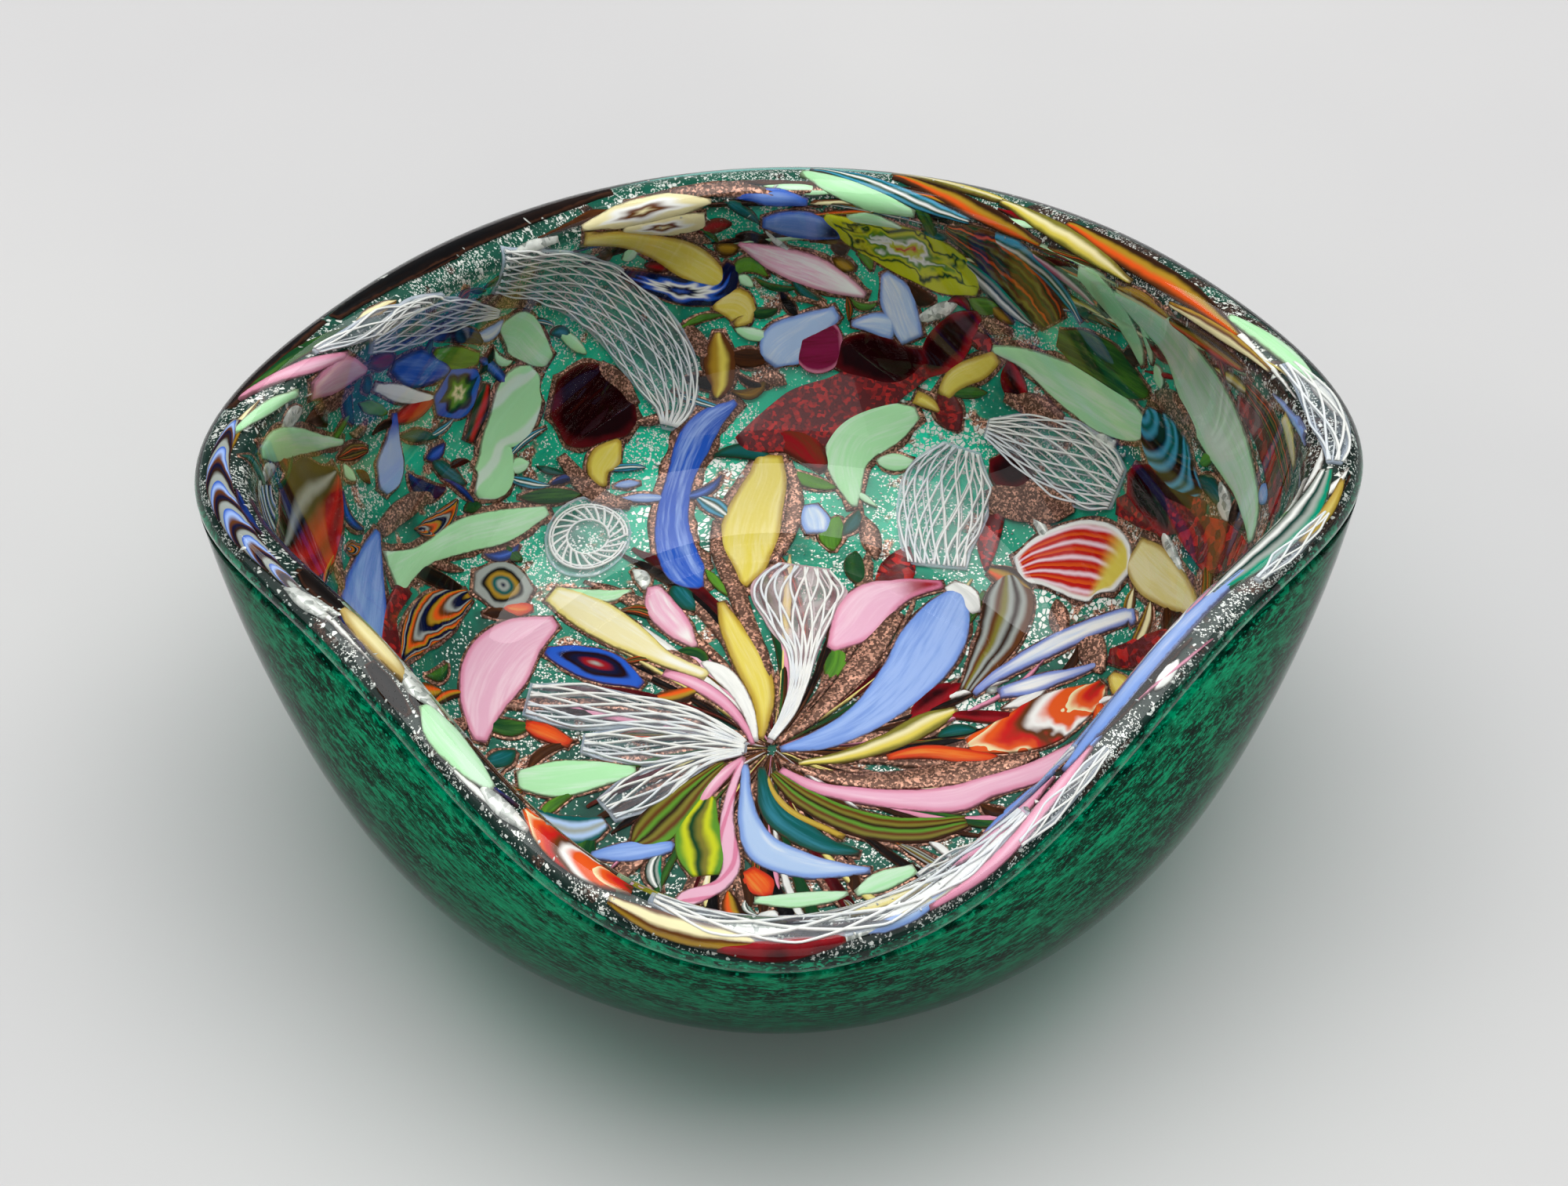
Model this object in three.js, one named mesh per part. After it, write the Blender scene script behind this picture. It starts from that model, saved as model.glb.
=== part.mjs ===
// Art glass bowl: an emerald outer casing and a clear inner casing, fused around a
// collage of patterned cane chips laid on silver foil.
// Millimetres, +Z up. The bowl rests on z = 0, its two raised corners lie along X.
import * as THREE from 'three';

// Outer wall: a flat ground base, then one belly curve that every side follows
const BASE_RADIUS = 31.5;
const BELLY_SPREAD = 45.5; // how far the wall grows past the base radius
const BELLY_HEIGHT = 94; // height at which the belly curve would stand upright
const BELLY_POWER = 2.5;
const BELLY_ROOT = 2.1;

// Rim: high at the two corners, low at the front and back
const RIM_MEAN = 52.4;
const RIM_SADDLE = 9;
const RIM_FLATTENING = 1.7;
const RIM_TIP_DROP = 3;
const RIM_TILT = 1.6; // the +X corner stands a little higher, and so reaches further
const CENTRING = -0.24; // brings the bowl back over the middle of its own length

// Plan: how far the hot bowl was squeezed towards its corners at rim height
const PLAN_OVAL = 0.046;
const PLAN_DIAMOND = 0.042;
const PLAN_POINT = 0.103;
const POINT_POWER = 20;
const SQUEEZE_POWER = 3.2;

// Layers, as depths in from the outer face at the rim
const WALL = 7.5;
const OUTER_CASING = 2.2;
const FOIL = [2.5, 3];
const CHIP = [3.8, 5];
const INNER_CASING = 5.3;
const BASE_THICKENING = 0.2; // share by which the wall is thicker at the centre
const FUSE_GAP = 0.3;
const LIP_CROWN = 3;

// The collage is laid out on a flat plan: a point's distance from the middle is its
// way along the wall, from 0 at the bottom centre to REACH at the rim
const REACH = 106;
const FLAT_SHARE = 0.3; // share of the way that lies on the flat base
const CHIP_REACH = 103.5;

// Mesh fineness
const AROUND = 56;
const UP_WALL = 11;
const LIP_STEPS = 4;
const CORNER_CROWDING = 0.3; // crowds the steps around into the two corners
const CHIP_STEP = 4.6;
const NARROW_CHIP = 2.9; // half width up to which a chip needs two cells across
const SLOPE_STEP = 1e-4;

const FINISHES = {
  emerald_glass: [0x046a4c, 0.05, 0],
  clear_glass: [0xe8f0ec, 0.04, 0],
  silver_foil: [0xb9beb4, 0.35, 0.8],
  lattice_cane: [0xe6e9e4, 0.3, 0],
  mint_glass: [0xa9d7a4, 0.3, 0],
  blue_glass: [0x3f6cc4, 0.3, 0],
  ice_blue_glass: [0x9fb8dc, 0.3, 0],
  yellow_glass: [0xcdbb4c, 0.3, 0],
  cream_glass: [0xd8cf9a, 0.3, 0],
  pink_glass: [0xd394ab, 0.3, 0],
  ruby_glass: [0x7c0d16, 0.2, 0],
  murrine: [0xb0703a, 0.3, 0],
  streaked_glass: [0x6b5426, 0.3, 0],
  turquoise_glass: [0x3f8fa8, 0.3, 0],
};

// Each chip: name, finish and its centre line on the flat plan, as [x, y, half width]
const CHIPS = [
  // white lattice canes
  ['lattice_cane_large', 'lattice_cane',
    [[-66, 79.5, 3.5], [-54, 83.5, 5], [-42, 83.6, 5.6], [-31, 80, 6], [-23, 73, 5.6],
      [-18.5, 65.5, 3.2], [-18.6, 60.5, 0.8]]],
  ['lattice_cane_rim', 'lattice_cane',
    [[-93, 45, 1.3], [-87, 54.5, 3.4], [-80, 62, 3.4], [-70.5, 68.3, 2.2], [-62, 71.6, 0.6]]],
  ['lattice_basket', 'lattice_cane',
    [[30.6, 52.4, 2.6], [28, 48, 5.6], [25.8, 42, 5.8], [23.8, 36, 4.6], [23, 31, 3.4]]],
  ['lattice_leaf', 'lattice_cane',
    [[37, 54.6, 1.2], [42.2, 51, 3.8], [49, 45.4, 5.6], [54, 40.2, 4.6], [56.4, 37.6, 2.6]]],
  ['lattice_fan', 'lattice_cane',
    [[4, 30, 2.8], [3.2, 26, 5.2], [3.2, 20, 3.6], [3.5, 14, 1.6], [3, 8, 1], [1.8, 3, 0.7]]],
  ['lattice_cane_west', 'lattice_cane',
    [[-34.5, 5.5, 2.2], [-27, 4.2, 3.1], [-19, 3, 2.2], [-12, 1.5, 1.6], [-7.6, -0.8, 0.8]]],
  ['white_ring_murrine', 'lattice_cane', round(-28.5, 36.5, 6.4)],
  // mint green
  ['mint_chip_back', 'mint_glass',
    [[-57.5, 70, 0.8], [-53, 70.2, 3.2], [-47.5, 68.4, 2.4], [-44.3, 67.6, 1]]],
  ['mint_twist', 'mint_glass',
    [[-47, 63.8, 0.9], [-47.6, 60.2, 3.6], [-47.6, 55, 4], [-48.8, 50.4, 2.4],
      [-48, 46.4, 3], [-48.3, 42.8, 2.6], [-49.6, 39.6, 0.5]]],
  ['mint_leaf_left', 'mint_glass',
    [[-102, 10, 1.2], [-98.5, 16.5, 2.2], [-93, 23, 1.6], [-87.6, 28, 0.6]]],
  ['mint_ribbon_left', 'mint_glass',
    [[-62, 19.6, 2.8], [-57, 25.3, 1.5], [-50, 32, 2.4], [-43, 36.3, 2.3], [-37.2, 39.9, 0.7]]],
  ['mint_bent_chip', 'mint_glass',
    [[24, 60.8, 0.9], [20, 59.8, 3], [14.6, 57.4, 3.2], [12, 53, 2.6], [11.9, 47.4, 1.2],
      [12, 44.2, 0.4]]],
  ['mint_diagonal', 'mint_glass',
    [[42.4, 68.8, 0.5], [48, 64.6, 1.6], [54, 58.3, 2.9], [60, 51.4, 3.5], [64.4, 46, 2.6],
      [66, 44.2, 1.4]]],
  ['mint_stripe_rim', 'mint_glass',
    [[73.6, 70.6, 1.1], [76.8, 67, 2.2], [77.6, 61, 2.3], [76.4, 55, 1.6], [75.2, 51.6, 0.5]]],
  ['big_mint_leaf', 'mint_glass',
    [[83.6, 58.6, 0.7], [86.4, 53, 2.2], [88, 46, 3.9], [86.8, 38, 5.5], [86, 29, 4.9],
      [85.5, 20, 2.9], [84.5, 13, 1.9], [82.6, 8.8, 0.5]]],
  ['mint_leaf_southwest', 'mint_glass',
    [[-35, -9.4, 1.2], [-30, -8.9, 2.3], [-25, -8.2, 1.8], [-19.5, -7.5, 0.5]]],
  ['mint_leaf_front', 'mint_glass',
    [[-76, -50, 0.7], [-78, -42, 3.2], [-77, -34, 4.4], [-74, -26, 3.6], [-70, -18, 1.2]]],
  // blues
  ['cobalt_leaf', 'blue_glass',
    [[-83, 48.8, 0.8], [-76.5, 52.6, 2.8], [-69.5, 56, 1.8], [-66.8, 57.4, 0.5]]],
  ['blue_leaf_left', 'blue_glass',
    [[-68, 24, 0.6], [-67.5, 19, 2.4], [-67, 11, 4.2], [-67, 4, 3.8], [-68, -3, 1]]],
  ['blue_chip_rim', 'blue_glass',
    [[-3, 100.8, 0.7], [2, 100.7, 1.8], [6.5, 100.2, 1.8], [9.6, 99.4, 0.8]]],
  ['blue_ribbon_back', 'blue_glass',
    [[-7.2, 65.2, 0.5], [-11.3, 61.4, 1.9], [-13.8, 57, 2.3], [-15.2, 50, 1.8],
      [-15.7, 42, 2], [-14.6, 35, 2.2], [-12.6, 29.4, 2], [-10.8, 26.6, 0.5]]],
  ['blue_ribbon_front', 'blue_glass',
    [[14, -86, 0.6], [17, -78, 2], [17.5, -69, 2.4], [16, -60, 2.4], [15, -50, 2],
      [15, -41, 0.7]]],
  ['ice_blue_leaf_back', 'ice_blue_glass',
    [[22.5, 87, 0.7], [24, 83.4, 2.3], [25, 79, 2.3], [26, 75.4, 1.5]]],
  ['ice_blue_oval', 'ice_blue_glass',
    [[-1.3, 72.6, 1.2], [0.3, 75.3, 2.5], [2.4, 79, 1.4], [4.4, 81.4, 0.5]]],
  ['ice_blue_ribbon_centre', 'ice_blue_glass',
    [[3.6, -3, 0.7], [7.5, -1.5, 1.3], [12, 1.8, 2], [17.5, 8.5, 3], [21.5, 16, 3.5],
      [24, 21.6, 2.4], [25.8, 24.8, 0.9]]],
  ['ice_blue_leaf_south', 'ice_blue_glass',
    [[-4.2, -8.4, 0.4], [-4.2, -12.5, 0.8], [-3.4, -17.4, 1.3], [-1, -21, 1.7],
      [3, -23.4, 1.6], [8, -24.6, 0.8]]],
  // yellows and creams
  ['yellow_ribbon_back', 'yellow_glass',
    [[-45, 92.6, 0.7], [-36, 95, 1.3], [-27, 94.8, 2], [-19, 92.6, 2.6], [-13, 89.9, 1.7],
      [-11, 88.6, 0.6]]],
  ['yellow_arc', 'yellow_glass',
    [[30, 63, 0.9], [33.4, 65.5, 1.5], [37, 66.2, 1.5], [39.8, 66.8, 0.7]]],
  ['yellow_ribbon_centre', 'yellow_glass',
    [[-1, 54.8, 1.5], [-1.6, 50, 2.5], [-3.2, 43, 3.4], [-4, 36, 3.4], [-3.8, 31, 2],
      [-4.4, 27.4, 0.5]]],
  ['yellow_ribbon_inner', 'yellow_glass',
    [[-7.6, 23, 0.5], [-6, 18, 1.2], [-3.8, 12, 1.6], [-2.6, 7, 1.1], [-2.3, 3.5, 0.6]]],
  ['yellow_leaf_front', 'yellow_glass',
    [[66, -66, 0.7], [64, -58, 2.6], [60, -50, 3.2], [54, -43, 2.4], [48, -38, 0.7]]],
  ['cream_ribbon', 'cream_glass',
    [[-32, 25, 1.1], [-27, 22.2, 2.2], [-21, 17.5, 2], [-15.6, 13.2, 1], [-11, 10.4, 0.6]]],
  ['cream_leaf_right', 'cream_glass',
    [[57.8, 25.2, 1.8], [59.9, 21, 2.9], [63, 15.5, 2.5], [66, 10.6, 1.5], [67, 7, 0.6]]],
  // pinks
  ['pink_leaf_rim', 'pink_glass',
    [[-99.5, 27.8, 1], [-96.4, 33.6, 2.2], [-92.2, 39.6, 1], [-90.2, 42, 0.4]]],
  ['pink_leaf_large', 'pink_glass',
    [[-42, -3.3, 0.9], [-42, 4, 3.2], [-40.4, 10.2, 4], [-37, 15.2, 3.1], [-32.8, 18.8, 0.9]]],
  ['pink_white_leaf', 'pink_glass',
    [[-7, 95.8, 0.4], [-1, 93.2, 1.9], [7, 90.2, 2.4], [13, 87.3, 1.7], [17.6, 84.7, 0.4]]],
  ['pink_leaf_small', 'pink_glass',
    [[-17, 26, 0.7], [-16, 22.5, 1.7], [-13.6, 18.5, 1.4], [-11.5, 15.6, 0.4]]],
  ['pink_leaf_right', 'pink_glass',
    [[8.8, 15.4, 0.5], [11.4, 18.7, 1.9], [14.2, 23.2, 2.5], [17.6, 25.6, 1.3],
      [20.4, 26.4, 0.7]]],
  ['pink_ribbon_long', 'pink_glass',
    [[1.5, -8.6, 0.5], [5, -10.5, 0.8], [11, -12, 1.1], [18, -12.7, 1.4], [24, -12.2, 1.6],
      [29.5, -10, 1.3], [38, -7.2, 1.5], [45, -4, 0.7]]],
  ['pink_leaf_front', 'pink_glass',
    [[-24, -84, 0.7], [-28, -76, 3], [-29, -67, 3.8], [-27, -58, 3], [-23, -50, 0.8]]],
  // rubies
  ['ruby_striped_chip', 'ruby_glass',
    [[-88.5, 2, 1.5], [-86, 8, 4.6], [-84.3, 15, 6], [-82.9, 20.6, 4.4], [-82.4, 24.4, 1]]],
  ['ruby_round_chip', 'ruby_glass', round(-33.4, 61, 6.8)],
  ['ruby_disc', 'ruby_glass', round(8.8, 76, 4)],
  ['ruby_chip_back', 'ruby_glass',
    [[15, 71.8, 1.1], [18.6, 70.6, 2.2], [23, 69.4, 2.4], [27.6, 70, 0.8]]],
  ['ruby_chip_right', 'ruby_glass',
    [[61.8, 37.4, 0.7], [62.9, 34, 3.2], [64.2, 29.6, 2.3], [64.5, 26.6, 0.8]]],
  // murrine slices
  ['star_murrine', 'murrine',
    [[-65, 50.6, 1.1], [-61.5, 54.4, 3.7], [-59, 58.6, 0.8]]],
  ['flame_murrine', 'murrine',
    [[-57.2, 6.4, 0.7], [-55, 12.5, 2.2], [-51, 18, 2.5], [-47.6, 21.6, 0.9]]],
  ['eye_murrine', 'murrine', round(-41, 27, 3.4)],
  ['green_yellow_murrine', 'murrine',
    [[13, 100.2, 0.7], [18, 97.4, 2.2], [24, 94.3, 3.5], [32, 89.8, 4.1], [37.4, 85.8, 3.3],
      [41.5, 82.4, 1.2]]],
  ['orange_shell_murrine', 'murrine',
    [[36.6, 29, 1.6], [41, 29.2, 3.7], [46.8, 28, 4.9], [51, 25.4, 4.3], [52.8, 22.4, 1.5]]],
  ['orange_white_murrine', 'murrine',
    [[27, -2.6, 1], [31, -1.3, 2.1], [38, 1.5, 3.1], [44.4, 3.4, 1.9], [46.8, 4.4, 0.7]]],
  // streaked and striped chips
  ['olive_leaf', 'streaked_glass',
    [[42.5, 93.4, 0.9], [47, 89.6, 2.7], [52, 84.6, 4.4], [55.6, 78, 4.5], [57, 72.6, 3.4],
      [57.2, 70, 2]]],
  ['grey_striped_leaf', 'streaked_glass',
    [[33.8, 28, 0.8], [33.2, 23.6, 2.6], [31.4, 18, 2.4], [28.7, 12.6, 1.4],
      [26.8, 9, 0.5]]],
  ['brown_leaf_southwest', 'streaked_glass',
    [[-8.8, -8.4, 0.7], [-11.2, -11.4, 1.3], [-14.2, -14.8, 2], [-16.8, -18, 1.7],
      [-18.4, -20, 0.6]]],
  ['olive_ribbon_south', 'streaked_glass',
    [[3.4, -13.6, 0.7], [8, -16.4, 1.2], [14, -18.2, 1.5], [20, -18.3, 1.3],
      [24.6, -17, 0.6]]],
  ['turquoise_striped_chip', 'turquoise_glass',
    [[70.6, 43, 0.9], [70.8, 40.2, 2.6], [71.2, 37, 3.2], [71.8, 33, 3.3], [73, 29.4, 2],
      [74.4, 26.6, 0.7]]],
];

// The centre line of a round slice
function round(x, y, radius) {
  const shares = [-0.97, -0.7, 0, 0.7, 0.97];
  return shares.map((s) => [x + s * radius, y, radius * Math.sqrt(1 - s * s)]);
}

function rimHeight(azimuth) {
  return RIM_MEAN + RIM_SADDLE * Math.cos(2 * azimuth)
    - RIM_FLATTENING * Math.cos(4 * azimuth)
    - RIM_TIP_DROP * Math.abs(Math.cos(azimuth)) ** POINT_POWER
    + RIM_TILT * Math.cos(azimuth);
}

function planSqueeze(azimuth) {
  return PLAN_OVAL * (1 - Math.cos(2 * azimuth))
    - PLAN_DIAMOND * (1 - Math.cos(4 * azimuth))
    - PLAN_POINT * (1 - Math.abs(Math.cos(azimuth)) ** POINT_POWER);
}

// Radius and height of the outer face, at a share of the way from centre to rim
function outerFace(azimuth, share) {
  if (share < FLAT_SHARE) {
    return [BASE_RADIUS * share / FLAT_SHARE, 0];
  }
  const climb = (share - FLAT_SHARE) / (1 - FLAT_SHARE);
  const up = climb * (1.35 - 0.35 * climb);
  const z = rimHeight(azimuth) * up * up;
  const grown = 1 - (1 - z / BELLY_HEIGHT) ** BELLY_POWER;
  const radius = BASE_RADIUS + BELLY_SPREAD * grown ** (1 / BELLY_ROOT);
  return [radius * (1 + up ** SQUEEZE_POWER * planSqueeze(azimuth)), z];
}

// A point of the glass: in from the outer face by depth, and on past it by beyond
function glassPoint(azimuth, share, depth, beyond = 0) {
  const [r, z] = outerFace(azimuth, share);
  const [r0, z0] = outerFace(azimuth, Math.max(share - SLOPE_STEP, 0));
  const [r1, z1] = outerFace(azimuth, share + SLOPE_STEP);
  const length = Math.hypot(r1 - r0, z1 - z0);
  const along = [(r1 - r0) / length, (z1 - z0) / length];
  const inward = depth * (1 + BASE_THICKENING * (1 - share));
  const radius = r - along[1] * inward + along[0] * beyond;
  const height = z + along[0] * inward + along[1] * beyond;
  return [radius * Math.cos(azimuth) + CENTRING, radius * Math.sin(azimuth), height];
}

function meshOf(name, finish, positions, indices) {
  const geometry = new THREE.BufferGeometry();
  geometry.setAttribute('position', new THREE.Float32BufferAttribute(positions, 3));
  geometry.setIndex(indices);
  geometry.computeVertexNormals();
  const [color, roughness, metalness] = FINISHES[finish];
  const mesh = new THREE.Mesh(
    geometry, new THREE.MeshStandardMaterial({ color, roughness, metalness }));
  mesh.name = name;
  return mesh;
}

// Shares of the way from centre to rim at which a shell has a ring
function wallShares() {
  const shares = [FLAT_SHARE * 0.55, FLAT_SHARE];
  for (let i = 1; i <= UP_WALL; i += 1) {
    shares.push(FLAT_SHARE + (1 - FLAT_SHARE) * i / UP_WALL);
  }
  return shares;
}

// A shell is a section of [share, depth, beyond] rings, from the outer pole round the
// lip to the inner pole, carried all the way round the bowl
function shell(name, finish, section, outerDepth, innerDepth) {
  const positions = [...glassPoint(0, 0, outerDepth)];
  for (const [share, depth, beyond] of section) {
    for (let i = 0; i < AROUND; i += 1) {
      const turn = 2 * Math.PI * i / AROUND;
      const azimuth = turn - CORNER_CROWDING * Math.sin(2 * turn) / 2;
      positions.push(...glassPoint(azimuth, share, depth, beyond));
    }
  }
  positions.push(...glassPoint(0, 0, innerDepth));
  const at = (ring, i) => 1 + ring * AROUND + (i % AROUND);
  const last = section.length - 1;
  const indices = [];
  for (let i = 0; i < AROUND; i += 1) {
    indices.push(0, at(0, i + 1), at(0, i));
    for (let ring = 0; ring < last; ring += 1) {
      indices.push(at(ring, i), at(ring, i + 1), at(ring + 1, i + 1));
      indices.push(at(ring, i), at(ring + 1, i + 1), at(ring + 1, i));
    }
    indices.push(at(last, i), at(last, i + 1), positions.length / 3 - 1);
  }
  return meshOf(name, finish, positions, indices);
}

function layerShell(name, finish, outer, inner) {
  const shares = wallShares();
  const section = [
    ...shares.map((share) => [share, outer, 0]),
    ...shares.toReversed().map((share) => [share, inner, 0]),
  ];
  return shell(name, finish, section, outer, inner);
}

// The clear casing lines the bowl and rolls over the lip to the outer face
function innerCasing() {
  const shares = wallShares();
  const section = [
    ...shares.map((share) => [share, INNER_CASING, 0]),
    [1, INNER_CASING, FUSE_GAP],
    [1, 0, FUSE_GAP],
  ];
  for (let i = 1; i < LIP_STEPS; i += 1) {
    const angle = Math.PI * i / LIP_STEPS;
    const depth = WALL * (1 - Math.cos(angle)) / 2;
    section.push([1, depth, FUSE_GAP + LIP_CROWN * Math.sin(angle)]);
  }
  section.push(...shares.toReversed().map((share) => [share, WALL, 0]));
  return shell('clear_inner_casing', 'clear_glass', section, INNER_CASING, WALL);
}

// A chip follows its centre line over the curved collage layer
function chip([name, finish, points]) {
  const line = new THREE.CatmullRomCurve3(
    points.map(([x, y, w]) => new THREE.Vector3(x, y, w)), false, 'catmullrom', 0.5);
  const widest = Math.max(...points.map((p) => p[2]));
  const across = widest > NARROW_CHIP ? 4 : 2;
  const steps = Math.max(4, Math.ceil(line.getLength() / CHIP_STEP));
  const row = across + 1;
  const positions = [];
  for (const depth of CHIP) {
    for (let i = 0; i <= steps; i += 1) {
      const centre = line.getPoint(i / steps);
      const along = line.getTangent(i / steps).setZ(0).normalize();
      for (let j = 0; j <= across; j += 1) {
        const side = centre.z * (2 * j / across - 1);
        const x = centre.x - along.y * side;
        const y = centre.y + along.x * side;
        const share = Math.min(Math.hypot(x, y), CHIP_REACH) / REACH;
        positions.push(...glassPoint(Math.atan2(y, x), share, depth));
      }
    }
  }
  const inner = (steps + 1) * row;
  const indices = [];
  const quad = (a, b, c, d) => indices.push(a, b, c, a, c, d);
  for (let i = 0; i < steps; i += 1) {
    for (let j = 0; j < across; j += 1) {
      const a = i * row + j;
      quad(a, a + 1, a + row + 1, a + row);
      quad(inner + a, inner + a + row, inner + a + row + 1, inner + a + 1);
    }
    const edge = i * row + across;
    quad(i * row, i * row + row, inner + i * row + row, inner + i * row);
    quad(edge, inner + edge, inner + edge + row, edge + row);
  }
  const end = steps * row;
  for (let j = 0; j < across; j += 1) {
    quad(j, inner + j, inner + j + 1, j + 1);
    quad(end + j, end + j + 1, inner + end + j + 1, inner + end + j);
  }
  return meshOf(name, finish, positions, indices);
}

const bowl = new THREE.Group();
bowl.add(layerShell('green_outer_casing', 'emerald_glass', 0, OUTER_CASING));
bowl.add(layerShell('silver_foil_ground', 'silver_foil', FOIL[0], FOIL[1]));
bowl.add(innerCasing());
for (const entry of CHIPS) {
  bowl.add(chip(entry));
}

export default bowl;
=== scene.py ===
import math

import bpy
import numpy as np
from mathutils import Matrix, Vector


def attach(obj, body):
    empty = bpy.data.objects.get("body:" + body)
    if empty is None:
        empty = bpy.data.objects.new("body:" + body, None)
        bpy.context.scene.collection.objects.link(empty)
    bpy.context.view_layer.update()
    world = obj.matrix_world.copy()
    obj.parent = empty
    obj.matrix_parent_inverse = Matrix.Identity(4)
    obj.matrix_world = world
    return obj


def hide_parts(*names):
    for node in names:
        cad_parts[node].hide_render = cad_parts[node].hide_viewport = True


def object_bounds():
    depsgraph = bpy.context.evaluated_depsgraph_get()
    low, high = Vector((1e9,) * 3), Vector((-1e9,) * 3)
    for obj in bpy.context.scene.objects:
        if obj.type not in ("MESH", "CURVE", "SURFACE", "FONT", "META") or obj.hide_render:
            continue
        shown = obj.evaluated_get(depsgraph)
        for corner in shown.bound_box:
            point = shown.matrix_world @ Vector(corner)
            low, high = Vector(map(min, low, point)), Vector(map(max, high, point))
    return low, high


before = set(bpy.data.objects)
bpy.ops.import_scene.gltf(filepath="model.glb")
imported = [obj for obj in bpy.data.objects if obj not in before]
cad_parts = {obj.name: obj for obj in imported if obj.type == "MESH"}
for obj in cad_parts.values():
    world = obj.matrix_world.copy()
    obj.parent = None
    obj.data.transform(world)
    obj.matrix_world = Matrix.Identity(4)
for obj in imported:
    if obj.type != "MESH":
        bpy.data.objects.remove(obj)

CAD_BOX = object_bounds()

bl_info = {
    "name": "Cane Collage Glass Bowl",
    "version": (1, 0, 0),
    "blender": (4, 5, 0),
    "location": "View3D > Sidebar > Glass Bowl",
    "description": "Builds a fused art glass bowl around its packed frame",
    "category": "Object",
}

MM = 0.001

# Seeds of the random draws, so that every run draws alike
SEED = 20
LIP_FLAKE_SEED = SEED + 40
SLIVER_SEED = 100
FRONT_SEED = 200
BORDER_SEED = SEED + 300
LIP_CHIP_SEED = 400
FILLING_SEED = SEED + 900
CRUMB_SEED = 2000
STREAK_SEED = 4000

# Bowl form, in millimetres: the same curves as the solid model
BASE_RADIUS = 31.5
BELLY_SPREAD = 45.5
BELLY_HEIGHT = 94.0
BELLY_POWER = 2.5
BELLY_ROOT = 2.1
RIM_MEAN = 52.4
RIM_SADDLE = 9.0
RIM_FLATTENING = 1.7
RIM_TIP_DROP = 3.0
RIM_TILT = 1.6
CENTRING = -0.24
PLAN_OVAL = 0.046
PLAN_DIAMOND = 0.042
PLAN_POINT = 0.103
POINT_POWER = 20
SQUEEZE_POWER = 3.2
WALL = 7.5
OUTER_CASING = 2.2
FOIL_OUTER = 2.5
INNER_CASING = 5.3
BASE_THICKENING = 0.2
FUSE_GAP = 0.3
LIP_CROWN = 3.0
REACH = 106.0
FLAT_SHARE = 0.3
CLIMB_START, CLIMB_LOSS = 1.35, 0.35
SLOPE_STEP = 1e-4

# Depths in from the outer face for what lies in the collage
GROUND_DEPTH = 3.4
CHIP_UNDERSIDE = GROUND_DEPTH
CHIP_EDGE = 4.1
CHIP_TOP = 4.4
BORDER_DEPTH = (3.4, 3.75)
THREAD_DEPTH = (4.2, 4.55)
BACK_THREAD_DEPTH = (3.7, 3.9)
FLAKE_DEPTH = 3.5

# How the collage rolls over the lip: where it starts to rise, where it ends on the flat
# plan, how much of a half turn it makes, and its depth and height under the crown
RISE_FROM = 92.0
LIP_REACH = 116.0
LIP_TURN = 0.94
LIP_INNER = 6.1
LIP_RISE = 1.35
LIP_RADIUS = 70.0  # turns a heading round the lip into millimetres
LIP_WAY = 8.5  # width of the lip, over which a lip chip's way runs from 0 to 1

# Chips spread as they melt in; crumbs and streaks sink a little deeper than the chips
CHIP_SPREAD = 1.14
SLIVER_TOP = CHIP_TOP - 0.1
FRONT_TOP = CHIP_TOP - 0.15
CRUMB_TOP = CHIP_TOP - 0.2
STREAK_TOP = CHIP_TOP - 0.3
LIP_FLAKE_DEPTH = CHIP_TOP - 0.25
LIP_CHIP_WIDTH = 0.85
SWIRL_REACH = 48.0  # chips that stay within this reach belong to the swirl
SWIRL_BORDER = 0.4  # and have a copper border no wider than this
FRONT_REACH = 38  # back-wall chips farther out than this, and starting this far
FRONT_BACK = 20  # towards the back, have a likeness on the front wall

# Mesh fineness of the shells
AROUND = 176
BASE_RINGS = 6
WALL_RINGS = 44
LIP_STEPS = 16
ROLL_RINGS = 13
CORNER_CROWDING = 0.3

# How far the emerald streaks turn from centre to rim, and their closeness round and up
STREAK_TURN = 1.1
STREAK_ROUND = 0.07
STREAK_UP = 22.0

# Mesh fineness, smallest half width and ragged edge of the chips
LINE_STEP = 0.9
LEAST_CELLS = 8
CELL_WIDTH = 0.7
LEAST_HALF = 0.1
END_ROWS = 1.5
CHIP_RAGGED = 0.07
CRUMB_RAGGED = 0.12
LEAST_DOME = 0.2

# How far the pattern of the next chip lies from the last one's, so that none repeat
CHIP_PATTERN = 7.3
CRUMB_PATTERN = 5.7
BORDER_PATTERN = 3.1

# Lattice threads: inset from the ends, width of the rounded top, and an edge distance that
# keeps the copper line off them
THREAD_INSET = 0.015
THREAD_SHOULDER = 0.6
THREAD_EDGE = 2.0
# Two families of threads: way of winding, threads for each millimetre of half width,
# fewest, most, half width and depths
THREAD_FAMILIES = ((1, 1.9, 4, 14, 0.21, THREAD_DEPTH),
                   (-1, 1.5, 3, 11, 0.14, BACK_THREAD_DEPTH))
THREAD_WINDING = 13.0
LACE_SPOKES = 22
LACE_HOOPS = (0.93, 0.86, 0.5)


def rim_height(azimuth):
    """Height of the outer rim edge."""
    return (RIM_MEAN + RIM_SADDLE * np.cos(2 * azimuth)
            - RIM_FLATTENING * np.cos(4 * azimuth)
            - RIM_TIP_DROP * np.abs(np.cos(azimuth)) ** POINT_POWER
            + RIM_TILT * np.cos(azimuth))


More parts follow.
